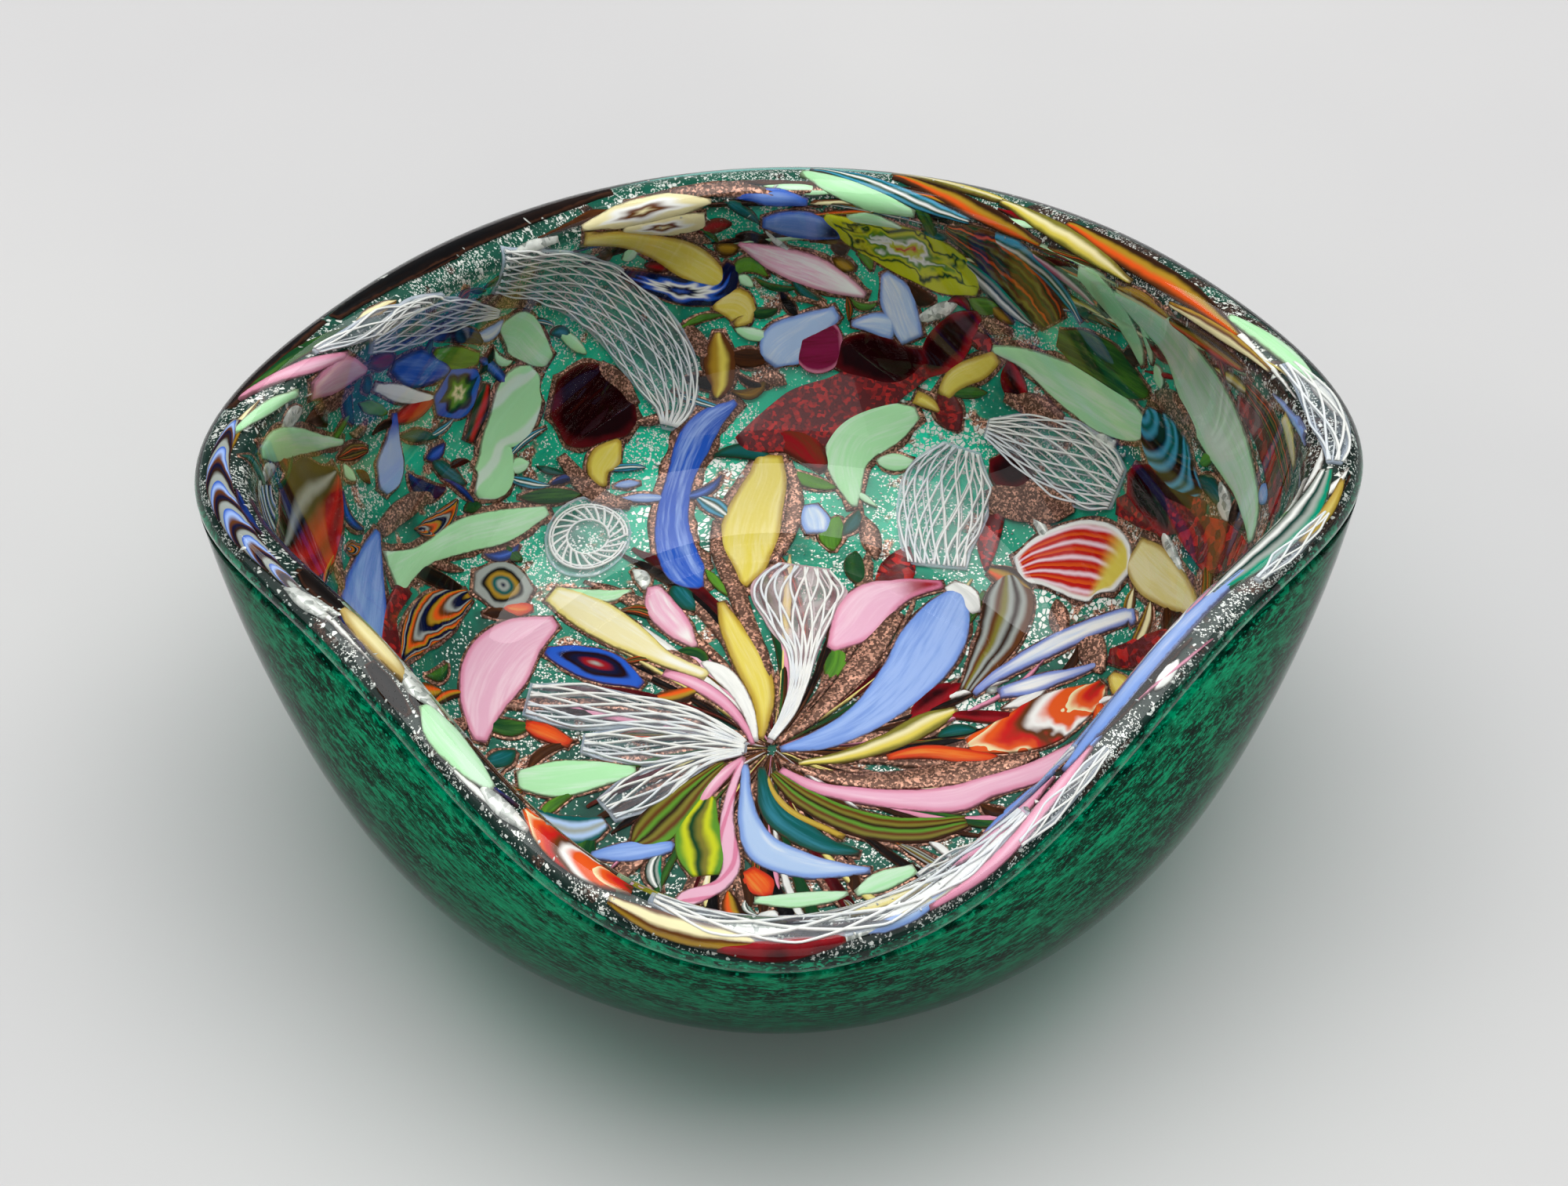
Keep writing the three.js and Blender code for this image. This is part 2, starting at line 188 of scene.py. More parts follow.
def plan_squeeze(azimuth):
    """Share by which the rim is drawn in or out from a circle."""
    return (PLAN_OVAL * (1 - np.cos(2 * azimuth))
            - PLAN_DIAMOND * (1 - np.cos(4 * azimuth))
            - PLAN_POINT * (1 - np.abs(np.cos(azimuth)) ** POINT_POWER))


def outer_face(azimuth, share):
    """Radius and height of the outer face, at a share of the way from centre to rim."""
    climb = np.clip((share - FLAT_SHARE) / (1 - FLAT_SHARE), 0, None)
    up = climb * (CLIMB_START - CLIMB_LOSS * climb)
    z = rim_height(azimuth) * up * up
    grown = np.clip(1 - (1 - z / BELLY_HEIGHT) ** BELLY_POWER, 0, None)
    flat = BASE_RADIUS * np.minimum(share / FLAT_SHARE, 1)
    radius = flat + BELLY_SPREAD * grown ** (1 / BELLY_ROOT)
    return radius * (1 + up ** SQUEEZE_POWER * plan_squeeze(azimuth)), z


def glass_point(azimuth, share, depth, beyond=0.0):
    """Points of the glass in metres, in from the outer face by depth and past it by beyond."""
    azimuth, share, depth, beyond = np.broadcast_arrays(
        *(np.asarray(v, float) for v in (azimuth, share, depth, beyond)))
    r, z = outer_face(azimuth, share)
    r0, z0 = outer_face(azimuth, np.clip(share - SLOPE_STEP, 0, None))
    r1, z1 = outer_face(azimuth, share + SLOPE_STEP)
    length = np.hypot(r1 - r0, z1 - z0)
    along_r, along_z = (r1 - r0) / length, (z1 - z0) / length
    inward = depth * (1 + BASE_THICKENING * (1 - share))
    radius = r - along_z * inward + along_r * beyond
    height = z + along_r * inward + along_z * beyond
    low, high = CAD_BOX
    middle = [(low[0] + high[0]) / 2, (low[1] + high[1]) / 2, low[2]]
    points = np.stack([radius * np.cos(azimuth) + CENTRING,
                       radius * np.sin(azimuth), height], axis=-1)
    return points * MM + np.array(middle)


def collage_point(heading, reach, depth):
    """Points of the collage, which follows the wall and then rolls over the lip.

    Below REACH it lies at its depth in the wall; near the rim it rises towards the
    inner face, and from REACH to LIP_REACH it follows the crown of the lip.
    """
    heading, reach, depth = np.broadcast_arrays(heading, reach, depth)
    lift = depth - GROUND_DEPTH
    rise = np.clip((reach - RISE_FROM) / (REACH - RISE_FROM), 0, 1)
    rise = rise * rise * (3 - 2 * rise)
    turn = np.clip((reach - REACH) / (LIP_REACH - REACH), 0, 1) * np.pi * LIP_TURN
    inner = GROUND_DEPTH + (LIP_INNER - GROUND_DEPTH) * rise
    half = LIP_INNER - WALL / 2
    across = inner - half * (1 - np.cos(turn)) + lift * np.cos(turn)
    beyond = (LIP_RISE + lift) * np.sin(turn) + FUSE_GAP * (turn > 0)
    return glass_point(heading, np.minimum(reach / REACH, 1.0), across, beyond)


def plan_point(x, y, depth):
    """Points of the collage from their places on its flat plan."""
    return collage_point(np.arctan2(y, x), np.hypot(x, y), depth)


# ---------------- node helpers

def add_node(tree, kind, settings=None, **inputs):
    """Adds a shader node; inputs are values or the sockets that feed them."""
    node = tree.nodes.new(kind)
    for key, value in (settings or {}).items():
        setattr(node, key, value)
    for key, value in inputs.items():
        slot = node.inputs[int(key[1:])] if key[0] == "_" else node.inputs[key.replace("_", " ")]
        if isinstance(value, bpy.types.NodeSocket):
            tree.links.new(value, slot)
        else:
            slot.default_value = value
    return node


def mesh_value(tree, label):
    """The edge distance of a mesh, or its lie or band places."""
    outputs = add_node(tree, "ShaderNodeAttribute", {"attribute_name": label}).outputs
    return outputs["Fac"] if label == "edge" else outputs["Vector"]


def maths(tree, operation, *values):
    """A Math node's result."""
    inputs = {f"_{i}": v for i, v in enumerate(values)}
    return add_node(tree, "ShaderNodeMath", {"operation": operation}, **inputs).outputs[0]


def blend_colours(tree, factor, first, second):
    """A colour Mix node's result."""
    node = add_node(tree, "ShaderNodeMix", {"data_type": "RGBA"}, _0=factor, _6=first,
                    _7=second)
    return node.outputs[2]


def smooth_range(tree, value, low, high, to_low=0.0, to_high=1.0):
    """A smooth Map Range from low..high."""
    node = add_node(tree, "ShaderNodeMapRange", {"interpolation_type": "SMOOTHSTEP"},
                    Value=value, From_Min=low, From_Max=high, To_Min=to_low, To_Max=to_high)
    return node.outputs[0]


def noise_height(tree, place, scale, detail, **inputs):
    """A Noise Texture's height."""
    return add_node(tree, "ShaderNodeTexNoise", Vector=place, Scale=scale, Detail=detail,
                    **inputs).outputs[0]


def add_bump(tree, shader, height, strength, distance):
    """Lets a height stand out on a shader's surface."""
    node = add_node(tree, "ShaderNodeBump", Height=height, Strength=strength,
                    Distance=distance)
    tree.links.new(node.outputs[0], shader.inputs["Normal"])


def dots(tree, place, scale, outer, inner, strength):
    """Scattered soft dots: full strength within the inner distance, none past the outer."""
    cells = add_node(tree, "ShaderNodeTexVoronoi", Vector=place, Scale=scale)
    return smooth_range(tree, cells.outputs["Distance"], outer, inner, 0.0, strength)


def ramp(tree, value, stops):
    """A smooth Color Ramp over (place, colour) stops."""
    node = add_node(tree, "ShaderNodeValToRGB", Fac=value)
    bar = node.color_ramp
    bar.interpolation = "EASE"
    for _ in range(len(stops) - 2):
        bar.elements.new(0.5)
    for element, (place, colour) in zip(bar.elements, stops):
        element.position = place
        element.color = colour
    return node.outputs[0]


def new_group(name, inputs, outputs):
    """An empty shader node group with float, colour or vector sockets."""
    group = bpy.data.node_groups.new(name, "ShaderNodeTree")
    kinds = {"f": "NodeSocketFloat", "c": "NodeSocketColor", "v": "NodeSocketVector"}
    for label, kind, default in inputs:
        socket = group.interface.new_socket(label, in_out="INPUT", socket_type=kinds[kind])
        socket.default_value = default
    for label, kind in outputs:
        group.interface.new_socket(label, in_out="OUTPUT", socket_type=kinds[kind])
    entry = group.nodes.new("NodeGroupInput")
    leave = group.nodes.new("NodeGroupOutput")
    return group, entry.outputs, leave.inputs


def use_group(tree, group, **inputs):
    """Places a node group and returns its outputs."""
    return add_node(tree, "ShaderNodeGroup", {"node_tree": group}, **inputs).outputs


def rgb(red, green, blue):
    """A linear colour from screen values of 0 to 255."""
    def linear(v):
        v /= 255
        return v / 12.92 if v <= 0.04045 else ((v + 0.055) / 1.055) ** 2.4
    return (linear(red), linear(green), linear(blue), 1.0)


PALETTE = {
    "mint": rgb(168, 222, 168), "mint_pale": rgb(205, 226, 208),
    "pink": rgb(224, 172, 194), "pink_pale": rgb(236, 206, 216), "rose": rgb(208, 122, 152),
    "cobalt": rgb(34, 84, 186), "blue": rgb(102, 138, 208), "blue_pale": rgb(150, 176, 226),
    "navy": rgb(6, 14, 48), "ice": rgb(166, 190, 224), "turquoise": rgb(66, 150, 184),
    "teal": rgb(8, 84, 82), "yellow": rgb(214, 196, 84), "ochre": rgb(164, 128, 34),
    "cream": rgb(226, 216, 168), "white": rgb(232, 232, 228), "grey": rgb(150, 156, 150),
    "ruby": rgb(140, 10, 22), "ruby_dark": rgb(24, 1, 3), "red": rgb(190, 28, 24),
    "orange": rgb(216, 84, 26), "brown": rgb(92, 50, 20), "brown_dark": rgb(44, 24, 12),
    "olive": rgb(118, 112, 40), "leaf": rgb(86, 138, 40), "green_dark": rgb(14, 60, 30),
    "emerald": rgb(0, 134, 104), "emerald_dark": rgb(0, 52, 42), "copper": rgb(226, 168, 142),
    "copper_dark": rgb(90, 60, 46), "black": rgb(8, 8, 9), "lime": rgb(190, 196, 30),
    "silver": rgb(238, 240, 234), "magenta": rgb(124, 22, 64), "garnet": rgb(84, 8, 14),
}


# ---------------- node groups

GROUPS = {}


def build_groups():
    """The effects that several glasses share."""
    # Copper line: the tarnished copper-brown line round every fused chip
    group, enter, leave = new_group(
        "Copper Line",
        [("Color", "c", (1, 1, 1, 1)), ("Line", "c", rgb(84, 50, 34)),
         ("Width", "f", 0.35), ("Wander", "f", 0.5)],
        [("Color", "c")])
    edge = mesh_value(group, "edge")
    place = mesh_value(group, "lie")
    wave = noise_height(group, place, 0.9, 3.0)
    shift = maths(group, "MULTIPLY", maths(group, "SUBTRACT", wave, 0.5), enter["Wander"])
    reach = maths(group, "ADD", edge, shift)
    mask = smooth_range(group, reach, 0.0, enter["Width"], 1.0, 0.0)
    soft = maths(group, "MULTIPLY", mask, 0.6)
    group.links.new(blend_colours(group, soft, enter["Color"], enter["Line"]), leave["Color"])
    GROUPS["line"] = group

    # Drawn streaks: threads of a second colour pulled lengthwise through a cane
    group, enter, leave = new_group(
        "Drawn Streaks",
        [("Body", "c", (1, 1, 1, 1)), ("Streak", "c", (1, 1, 1, 1)), ("Amount", "f", 0.5),
         ("Fineness", "f", 1.0)],
        [("Color", "c")])
    place = mesh_value(group, "lie")
    stretched = add_node(group, "ShaderNodeVectorMath", {"operation": "MULTIPLY"},
                         _0=place, _1=(0.08, 1.0, 1.0)).outputs[0]
    broad = noise_height(group, stretched, 0.42, 2.0)
    fine = noise_height(group, stretched, maths(group, "MULTIPLY", enter["Fineness"], 2.4), 3.0)
    both = maths(group, "ADD", maths(group, "MULTIPLY", broad, 0.6),
                 maths(group, "MULTIPLY", fine, 0.4))
    streak = maths(group, "MULTIPLY", smooth_range(group, both, 0.42, 0.66), enter["Amount"])
    group.links.new(blend_colours(group, streak, enter["Body"], enter["Streak"]),
                    leave["Color"])
    GROUPS["streaks"] = group

    # Glitter: flat grains that each catch the light a little differently
    group, enter, leave = new_group(
        "Metal Glitter",
        [("Place", "v", (0, 0, 0)), ("Grain", "f", 3.0), ("Dark", "c", PALETTE["copper_dark"]),
         ("Bright", "c", PALETTE["copper"]), ("Share", "f", 0.5)],
        [("Color", "c"), ("Grains", "f")])
    cells = add_node(group, "ShaderNodeTexVoronoi", Vector=enter["Place"], Scale=enter["Grain"])
    value = add_node(group, "ShaderNodeSeparateColor", Color=cells.outputs["Color"]).outputs[0]
    low = maths(group, "SUBTRACT", 1.0, enter["Share"])
    grains = add_node(group, "ShaderNodeMapRange", Value=value, From_Min=low,
                      From_Max=maths(group, "ADD", low, 0.45)).outputs[0]
    group.links.new(blend_colours(group, grains, enter["Dark"], enter["Bright"]), leave["Color"])
    group.links.new(grains, leave["Grains"])
    GROUPS["glitter"] = group

    # Cracked leaf: a share of the cells hold a grain of silver, with dark cracks between
    group, enter, leave = new_group(
        "Cracked Leaf", [("Place", "v", (0, 0, 0)), ("Grain", "f", 1.2), ("Share", "f", 0.5)],
        [("Grains", "f")])
    cracks = add_node(group, "ShaderNodeTexVoronoi", {"feature": "DISTANCE_TO_EDGE"},
                      Vector=enter["Place"], Scale=enter["Grain"])
    cells = add_node(group, "ShaderNodeTexVoronoi", Vector=enter["Place"],
                     Scale=enter["Grain"])
    chance = add_node(group, "ShaderNodeSeparateColor", Color=cells.outputs["Color"])
    there = smooth_range(group, maths(group, "SUBTRACT", enter["Share"], chance.outputs[0]),
                         0.0, 0.03)
    whole = smooth_range(group, cracks.outputs["Distance"], 0.06, 0.15)
    group.links.new(maths(group, "MULTIPLY", there, whole), leave["Grains"])
    GROUPS["cracked"] = group


# ---------------- materials

GRAIN_HEIGHT = 0.0002
CANE_LINE = 0.26


def start_material(name):
    """A new node material with one Principled BSDF, and its tree and shader."""
    material = bpy.data.materials.new(name)
    material.use_nodes = True
    tree = material.node_tree
    shader = tree.nodes["Principled BSDF"]
    shader.inputs["Specular IOR Level"].default_value = 0.04
    return material, tree, shader


def cane_places(tree, wander=0.12):
    """Along, across and lie coordinates of a chip, gently disturbed by the melt."""
    strip = add_node(tree, "ShaderNodeUVMap", {"uv_map": "strip"}).outputs[0]
    lie = mesh_value(tree, "lie")
    melt = noise_height(tree, lie, 0.22, 2.0)
    parts = add_node(tree, "ShaderNodeSeparateXYZ", Vector=strip)
    sway = maths(tree, "MULTIPLY", maths(tree, "SUBTRACT", melt, 0.5), 2 * wander)
    along = maths(tree, "ADD", parts.outputs[0], maths(tree, "MULTIPLY", sway, 0.6))
    across = maths(tree, "ADD", parts.outputs[1], sway)
    return along, across, lie


def finish_chip(tree, shader, colour, line=0.28, roughness=0.22):
    """Adds the copper line and a faint surface ripple, and joins the colour to the shader."""
    out = use_group(tree, GROUPS["line"], Color=colour, Width=line)
    tree.links.new(out["Color"], shader.inputs["Base Color"])
    shader.inputs["Roughness"].default_value = roughness
    ripple = noise_height(tree, mesh_value(tree, "lie"), 0.8, 2.0)
    add_bump(tree, shader, ripple, 0.08, 0.0004)


def deepen_rim(tree, colour, rim, full, none, strength):
    """Lets a second colour take over near the outline, if one is given."""
    if not rim:
        return colour
    mask = smooth_range(tree, mesh_value(tree, "edge"), full, none, strength, 0.0)
    return blend_colours(tree, mask, colour, PALETTE[rim])


def colour_stops(colours, offset=0.0):
    """Evenly spaced ramp stops for the colours named in a line of text."""
    names = colours.split()
    return [((i + offset) / len(names), PALETTE[c]) for i, c in enumerate(names)]


def solid_chip(name, body, streak, amount, rim=None, ends=None, line=0.28):
    """Opaque glass with drawn streaks, a deeper rim and perhaps ends of another colour."""
    material, tree, shader = start_material(name)
    along, _, _ = cane_places(tree)
    colour = use_group(tree, GROUPS["streaks"], Body=PALETTE[body], Streak=PALETTE[streak],
                       Amount=amount)["Color"]
    if ends:
        mask = smooth_range(tree, along, 0.62, 0.9)
        colour = blend_colours(tree, mask, colour, PALETTE[ends])
    colour = deepen_rim(tree, colour, rim, 0.3, 1.1, 0.75)
    finish_chip(tree, shader, colour, line)
    return material


def striped_chip(name, colours, wander=0.12, repeats=1, rim=None, core=None):
    """Stripes of several colours side by side, running lengthwise."""
    material, tree, shader = start_material(name)
    along, across, _ = cane_places(tree, wander)
    if repeats > 1:
        across = maths(tree, "FRACT", maths(tree, "MULTIPLY", across, float(repeats)))
    colour = ramp(tree, across, colour_stops(colours, 0.3))
    if core:
        mask = smooth_range(tree, along, 0.7, 0.86)
        colour = blend_colours(tree, mask, colour, PALETTE[core])
    colour = deepen_rim(tree, colour, rim, 0.5, 1.3, 1.0)
    finish_chip(tree, shader, colour, CANE_LINE)
    return material


def banded_chip(name, colours, bands, bow, wander=0.08):
    """Bands that bow across the chip, one after another along it."""
    material, tree, shader = start_material(name)
    along, across, _ = cane_places(tree, wander)
    off = maths(tree, "SUBTRACT", across, 0.5)
    curved = maths(tree, "MULTIPLY", maths(tree, "MULTIPLY", off, off), bow)
    turn = maths(tree, "FRACT", maths(tree, "MULTIPLY", maths(tree, "SUBTRACT", along, curved),
                                      bands))
    finish_chip(tree, shader, ramp(tree, turn, colour_stops(colours)), CANE_LINE)
    return material


def ringed_chip(name, colours, petals=0, wander=0.1):
    """Rings round a core, scalloped into petals where there are any."""
    material, tree, shader = start_material(name)
    along, across, _ = cane_places(tree, wander)
    x = maths(tree, "MULTIPLY", maths(tree, "SUBTRACT", along, 0.5), 2.0)
    y = maths(tree, "MULTIPLY", maths(tree, "SUBTRACT", across, 0.5), 2.0)
    radius = maths(tree, "SQRT", maths(tree, "ADD", maths(tree, "MULTIPLY", x, x),
                                       maths(tree, "MULTIPLY", y, y)))
    if petals:
        angle = maths(tree, "ARCTAN2", y, x)
        wave = maths(tree, "SINE", maths(tree, "MULTIPLY", angle, float(petals)))
        radius = maths(tree, "MULTIPLY", radius,
                       maths(tree, "ADD", 1.0, maths(tree, "MULTIPLY", wave, 0.16)))
    finish_chip(tree, shader, ramp(tree, radius, colour_stops(colours)), CANE_LINE)
    return material


def lattice_film(name, tint, veil):
    """The clear glass that carries lattice threads: mostly see-through, a little milky."""
    material, tree, shader = start_material(name)
    lie = mesh_value(tree, "lie")
    edge = mesh_value(tree, "edge")
    cloud = noise_height(tree, lie, 0.3, 2.0)
    tree.links.new(blend_colours(tree, cloud, PALETTE[tint], PALETTE["white"]),
                   shader.inputs["Base Color"])
    milk = smooth_range(tree, cloud, 0.3, 0.7, veil * 0.4, veil)
    rim = smooth_range(tree, edge, 0.1, 0.9, 0.35, 0.0)
    tree.links.new(maths(tree, "ADD", milk, rim), shader.inputs["Alpha"])
    shader.inputs["Roughness"].default_value = 0.25
    return material


def twisted_chip(name, body, thread, turns):
    """A cane with a second colour wound round it."""
    material, tree, shader = start_material(name)
    along, across, _ = cane_places(tree, 0.05)
    slant = maths(tree, "ADD", maths(tree, "MULTIPLY", along, float(turns)), across)
    wave = maths(tree, "PINGPONG", slant, 0.5)
    mask = smooth_range(tree, wave, 0.3, 0.42)
    colour = blend_colours(tree, mask, PALETTE[body], PALETTE[thread])
    finish_chip(tree, shader, colour)
    return material


def ruby_chip(name, deep, glow):
    """Transparent ruby: near black where thick, red where it thins to the edge."""
    material, tree, shader = start_material(name)
    _, across, lie = cane_places(tree, 0.3)
    edge = mesh_value(tree, "edge")
    cloud = noise_height(tree, lie, 0.35, 3.0)
    thick = maths(tree, "ADD", edge, maths(tree, "MULTIPLY", cloud, 2.4))
    mask = smooth_range(tree, maths(tree, "ADD", thick, maths(tree, "MULTIPLY", across, 1.6)),
                        1.6, 4.2)
    colour = blend_colours(tree, mask, PALETTE[glow], PALETTE[deep])
    finish_chip(tree, shader, colour, 0.3, 0.12)
    return material


def glitter_metal(name, dark, bright, grain, share, metallic=0.55, roughness=0.34):
    """Aventurine or foil: packed metal grains."""
    material, tree, shader = start_material(name)
    lie = mesh_value(tree, "lie")
    glitter = use_group(tree, GROUPS["glitter"], Place=lie, Grain=grain, Dark=PALETTE[dark],
                        Bright=PALETTE[bright], Share=share)
    tarnish = smooth_range(tree, noise_height(tree, lie, 0.5, 3.0), 0.35, 0.7, 0.0, 0.5)
    colour = blend_colours(tree, tarnish, glitter["Color"], PALETTE[dark])
    tree.links.new(colour, shader.inputs["Base Color"])
    shader.inputs["Specular IOR Level"].default_value = 0.5
    shader.inputs["Metallic"].default_value = metallic
    shader.inputs["Roughness"].default_value = roughness
    add_bump(tree, shader, glitter["Grains"], 0.5, GRAIN_HEIGHT)
    return material


def tinted_glass(name, tint, ior):
    """Polished glass that lets lamp light through to what is fused behind it."""
    material, tree, shader = start_material(name)
    shader.inputs["Base Color"].default_value = tint
    shader.inputs["Transmission Weight"].default_value = 1.0
    shader.inputs["IOR"].default_value = ior
    shader.inputs["Specular IOR Level"].default_value = 0.5
    place = add_node(tree, "ShaderNodeTexCoord").outputs["Object"]
    add_bump(tree, shader, noise_height(tree, place, 38.0, 1.0), 0.12, 0.0012)
    wear = noise_height(tree, place, 420.0, 2.0)
    tree.links.new(smooth_range(tree, wear, 0.5, 0.9, 0.012, 0.05), shader.inputs["Roughness"])
    clear = add_node(tree, "ShaderNodeBsdfTransparent", Color=tint)
    lamp = add_node(tree, "ShaderNodeLightPath").outputs["Is Shadow Ray"]
    mixed = add_node(tree, "ShaderNodeMixShader", _0=lamp, _1=shader.outputs[0],
                     _2=clear.outputs[0])
    tree.links.new(mixed.outputs[0], tree.nodes["Material Output"].inputs["Surface"])
    return material


def fused_face(name):
    """The face where two glasses have melted together: nothing shows there."""
    material = bpy.data.materials.new(name)
    material.use_nodes = True
    tree = material.node_tree
    tree.nodes.remove(tree.nodes["Principled BSDF"])
    clear = add_node(tree, "ShaderNodeBsdfTransparent")
    tree.links.new(clear.outputs[0], tree.nodes["Material Output"].inputs["Surface"])
    return material


def emerald_depth():
    """What the outer glass shows: drawn emerald, tiny stretched bubbles, dark clouds, painted glints and
    painted shade towards the silhouette.
    """
    material, tree, shader = start_material("emerald_depth")
    shader.inputs["Specular IOR Level"].default_value = 0.0
    band = mesh_value(tree, "band")
    lie = mesh_value(tree, "lie")
    cloud = noise_height(tree, band, 0.9, 4.0, Distortion=0.6)
    drawn = noise_height(tree, band, 6.5, 6.0, Roughness=0.68, Distortion=0.5)
    colour = ramp(tree, cloud, [
        (0.32, rgb(0, 26, 20)), (0.46, rgb(0, 78, 58)), (0.56, rgb(0, 130, 96)),
        (0.72, rgb(0, 172, 128))])
    streak = smooth_range(tree, drawn, 0.51, 0.58, 0.0, 0.85)
    shade = smooth_range(tree, drawn, 0.48, 0.4, 0.0, 0.9)
    bubbles = dots(tree, band, 16.0, 0.32, 0.12, 0.8)
    soot = dots(tree, band, 11.0, 0.3, 0.1, 0.6)
    # painted glints: specks of silver painted pale as if catching the light
    glints = dots(tree, lie, 0.7, 0.09, 0.03, 0.8)
    for mask, over in ((streak, rgb(0, 196, 146)), (shade, rgb(0, 30, 26)),
                       (bubbles, rgb(40, 226, 176)), (soot, rgb(0, 34, 30)),
                       (glints, rgb(150, 226, 196))):
        colour = blend_colours(tree, mask, colour, over)
    # painted shade: the colour darkens towards the silhouette, standing in for thick glass seen edge on
    # that swallows the light
    facing = add_node(tree, "ShaderNodeLayerWeight").outputs["Facing"]
    colour = blend_colours(tree, smooth_range(tree, facing, 0.35, 0.85, 0.0, 0.85), colour,
                           rgb(0, 18, 14))
    tree.links.new(colour, shader.inputs["Base Color"])
    shader.inputs["Roughness"].default_value = 0.4
    add_bump(tree, shader, drawn, 0.35, 0.0006)
    return material


# Where larger silver leaf was laid, on the flat plan in millimetres, and how far it spreads
LEAF_SPOTS = (((-10.0, 45.0, 3.4), 13.0), ((27.0, 57.0, 3.4), 9.0), ((43.0, 20.0, 3.4), 11.0),
              ((20.0, 5.0, 3.4), 12.0), ((-70.0, -60.0, 3.4), 16.0), ((30.0, -70.0, 3.4), 14.0))


def foil_ground():
    """The ground between the chips: emerald, silver specks, cracked leaf and copper clouds, with painted
    shade over the middle and front and over the lip.
    """
    material, tree, shader = start_material("foil_ground")
    lie = mesh_value(tree, "lie")
    cloud = noise_height(tree, lie, 0.06, 4.0)
    colour = ramp(tree, cloud, [
        (0.34, rgb(0, 116, 92)), (0.48, rgb(0, 178, 140)), (0.7, rgb(20, 214, 172))])
    parts = add_node(tree, "ShaderNodeSeparateXYZ", Vector=lie)
    # painted light and shade: the ground is painted darker from plan y 60 down to -5, so that the back
    # wall looks more brightly lit than the middle and front
    low = smooth_range(tree, parts.outputs[1], 60.0, -5.0, 0.0, 0.84)
    colour = blend_colours(tree, low, colour, rgb(4, 44, 38))
    # copper settles low in the bowl and towards the +X side
    far = add_node(tree, "ShaderNodeVectorMath", {"operation": "DISTANCE"}, _0=lie,
                   _1=(8.0, -14.0, 3.0)).outputs["Value"]
    near = smooth_range(tree, far, 66.0, 16.0, -0.04, -0.02)
    side = smooth_range(tree, parts.outputs[0], 20.0, 90.0, 0.0, 0.12)
    rust = noise_height(tree, lie, 0.14, 5.0)
    level = maths(tree, "ADD", rust, maths(tree, "ADD", near, side))
    copper_mask = smooth_range(tree, level, 0.56, 0.62)
    glitter = use_group(tree, GROUPS["glitter"], Place=lie, Grain=3.6,
                        Dark=PALETTE["copper_dark"], Bright=PALETTE["copper"], Share=0.62)
    browned = blend_colours(tree, smooth_range(tree, rust, 0.4, 0.62), PALETTE["brown_dark"],
                            glitter["Color"])
    colour = blend_colours(tree, copper_mask, colour, browned)
    # the ground is painted dark where it rolls over the lip, as painted shade of the edge-on emerald
    # glass, and more leaf shows there
    reach = add_node(tree, "ShaderNodeVectorMath", {"operation": "LENGTH"}, _0=lie)
    lip = smooth_range(tree, reach.outputs["Value"], 102.0, 107.0)
    colour = blend_colours(tree, maths(tree, "MULTIPLY", lip, 0.85), colour, rgb(5, 16, 15))
    # fine silver specks lie in drifts, and larger leaf cracks into grains round its spots
    drift = noise_height(tree, lie, 0.11, 4.0, Roughness=0.6)
    dust = use_group(tree, GROUPS["cracked"], Place=lie, Grain=2.6,
                     Share=smooth_range(tree, drift, 0.4, 0.58, 0.05, 0.5))
    leaf_share = maths(tree, "MULTIPLY", lip, 0.14)
    for spot, spread in LEAF_SPOTS:
        away = add_node(tree, "ShaderNodeVectorMath", {"operation": "DISTANCE"}, _0=lie,
                        _1=spot).outputs["Value"]
        here = smooth_range(tree, away, spread * 1.25, spread * 0.5, 0.0, 0.7)
        leaf_share = maths(tree, "MAXIMUM", leaf_share, here)
    leaf = use_group(tree, GROUPS["cracked"], Place=lie, Grain=1.1, Share=leaf_share)
    speck = maths(tree, "MAXIMUM", dust["Grains"], leaf["Grains"])
    colour = blend_colours(tree, speck, colour, PALETTE["silver"])
    tree.links.new(colour, shader.inputs["Base Color"])
    metal = maths(tree, "MAXIMUM", maths(tree, "MULTIPLY", speck, 0.35),
                  maths(tree, "MULTIPLY", copper_mask, 0.3))
    tree.links.new(metal, shader.inputs["Metallic"])
    shader.inputs["Specular IOR Level"].default_value = 0.3
    shader.inputs["Roughness"].default_value = 0.34
    height = maths(tree, "ADD", speck, glitter["Grains"])
    add_bump(tree, shader, height, 0.5, GRAIN_HEIGHT)
    return material


def backdrop_paper():
    """Pale seamless paper with a faint tooth and a few scuffs."""
    material, tree, shader = start_material("backdrop_paper")
    place = add_node(tree, "ShaderNodeTexCoord").outputs["Object"]
    scuffs = smooth_range(tree, noise_height(tree, place, 5.0, 4.0), 0.35, 0.65)
    colour = blend_colours(tree, scuffs, rgb(218, 217, 217), rgb(224, 223, 222))
    tree.links.new(colour, shader.inputs["Base Color"])
    shader.inputs["Roughness"].default_value = 0.75
    add_bump(tree, shader, noise_height(tree, place, 900.0, 2.0), 0.05, GRAIN_HEIGHT)
    return material


# ---------------- mesh helpers

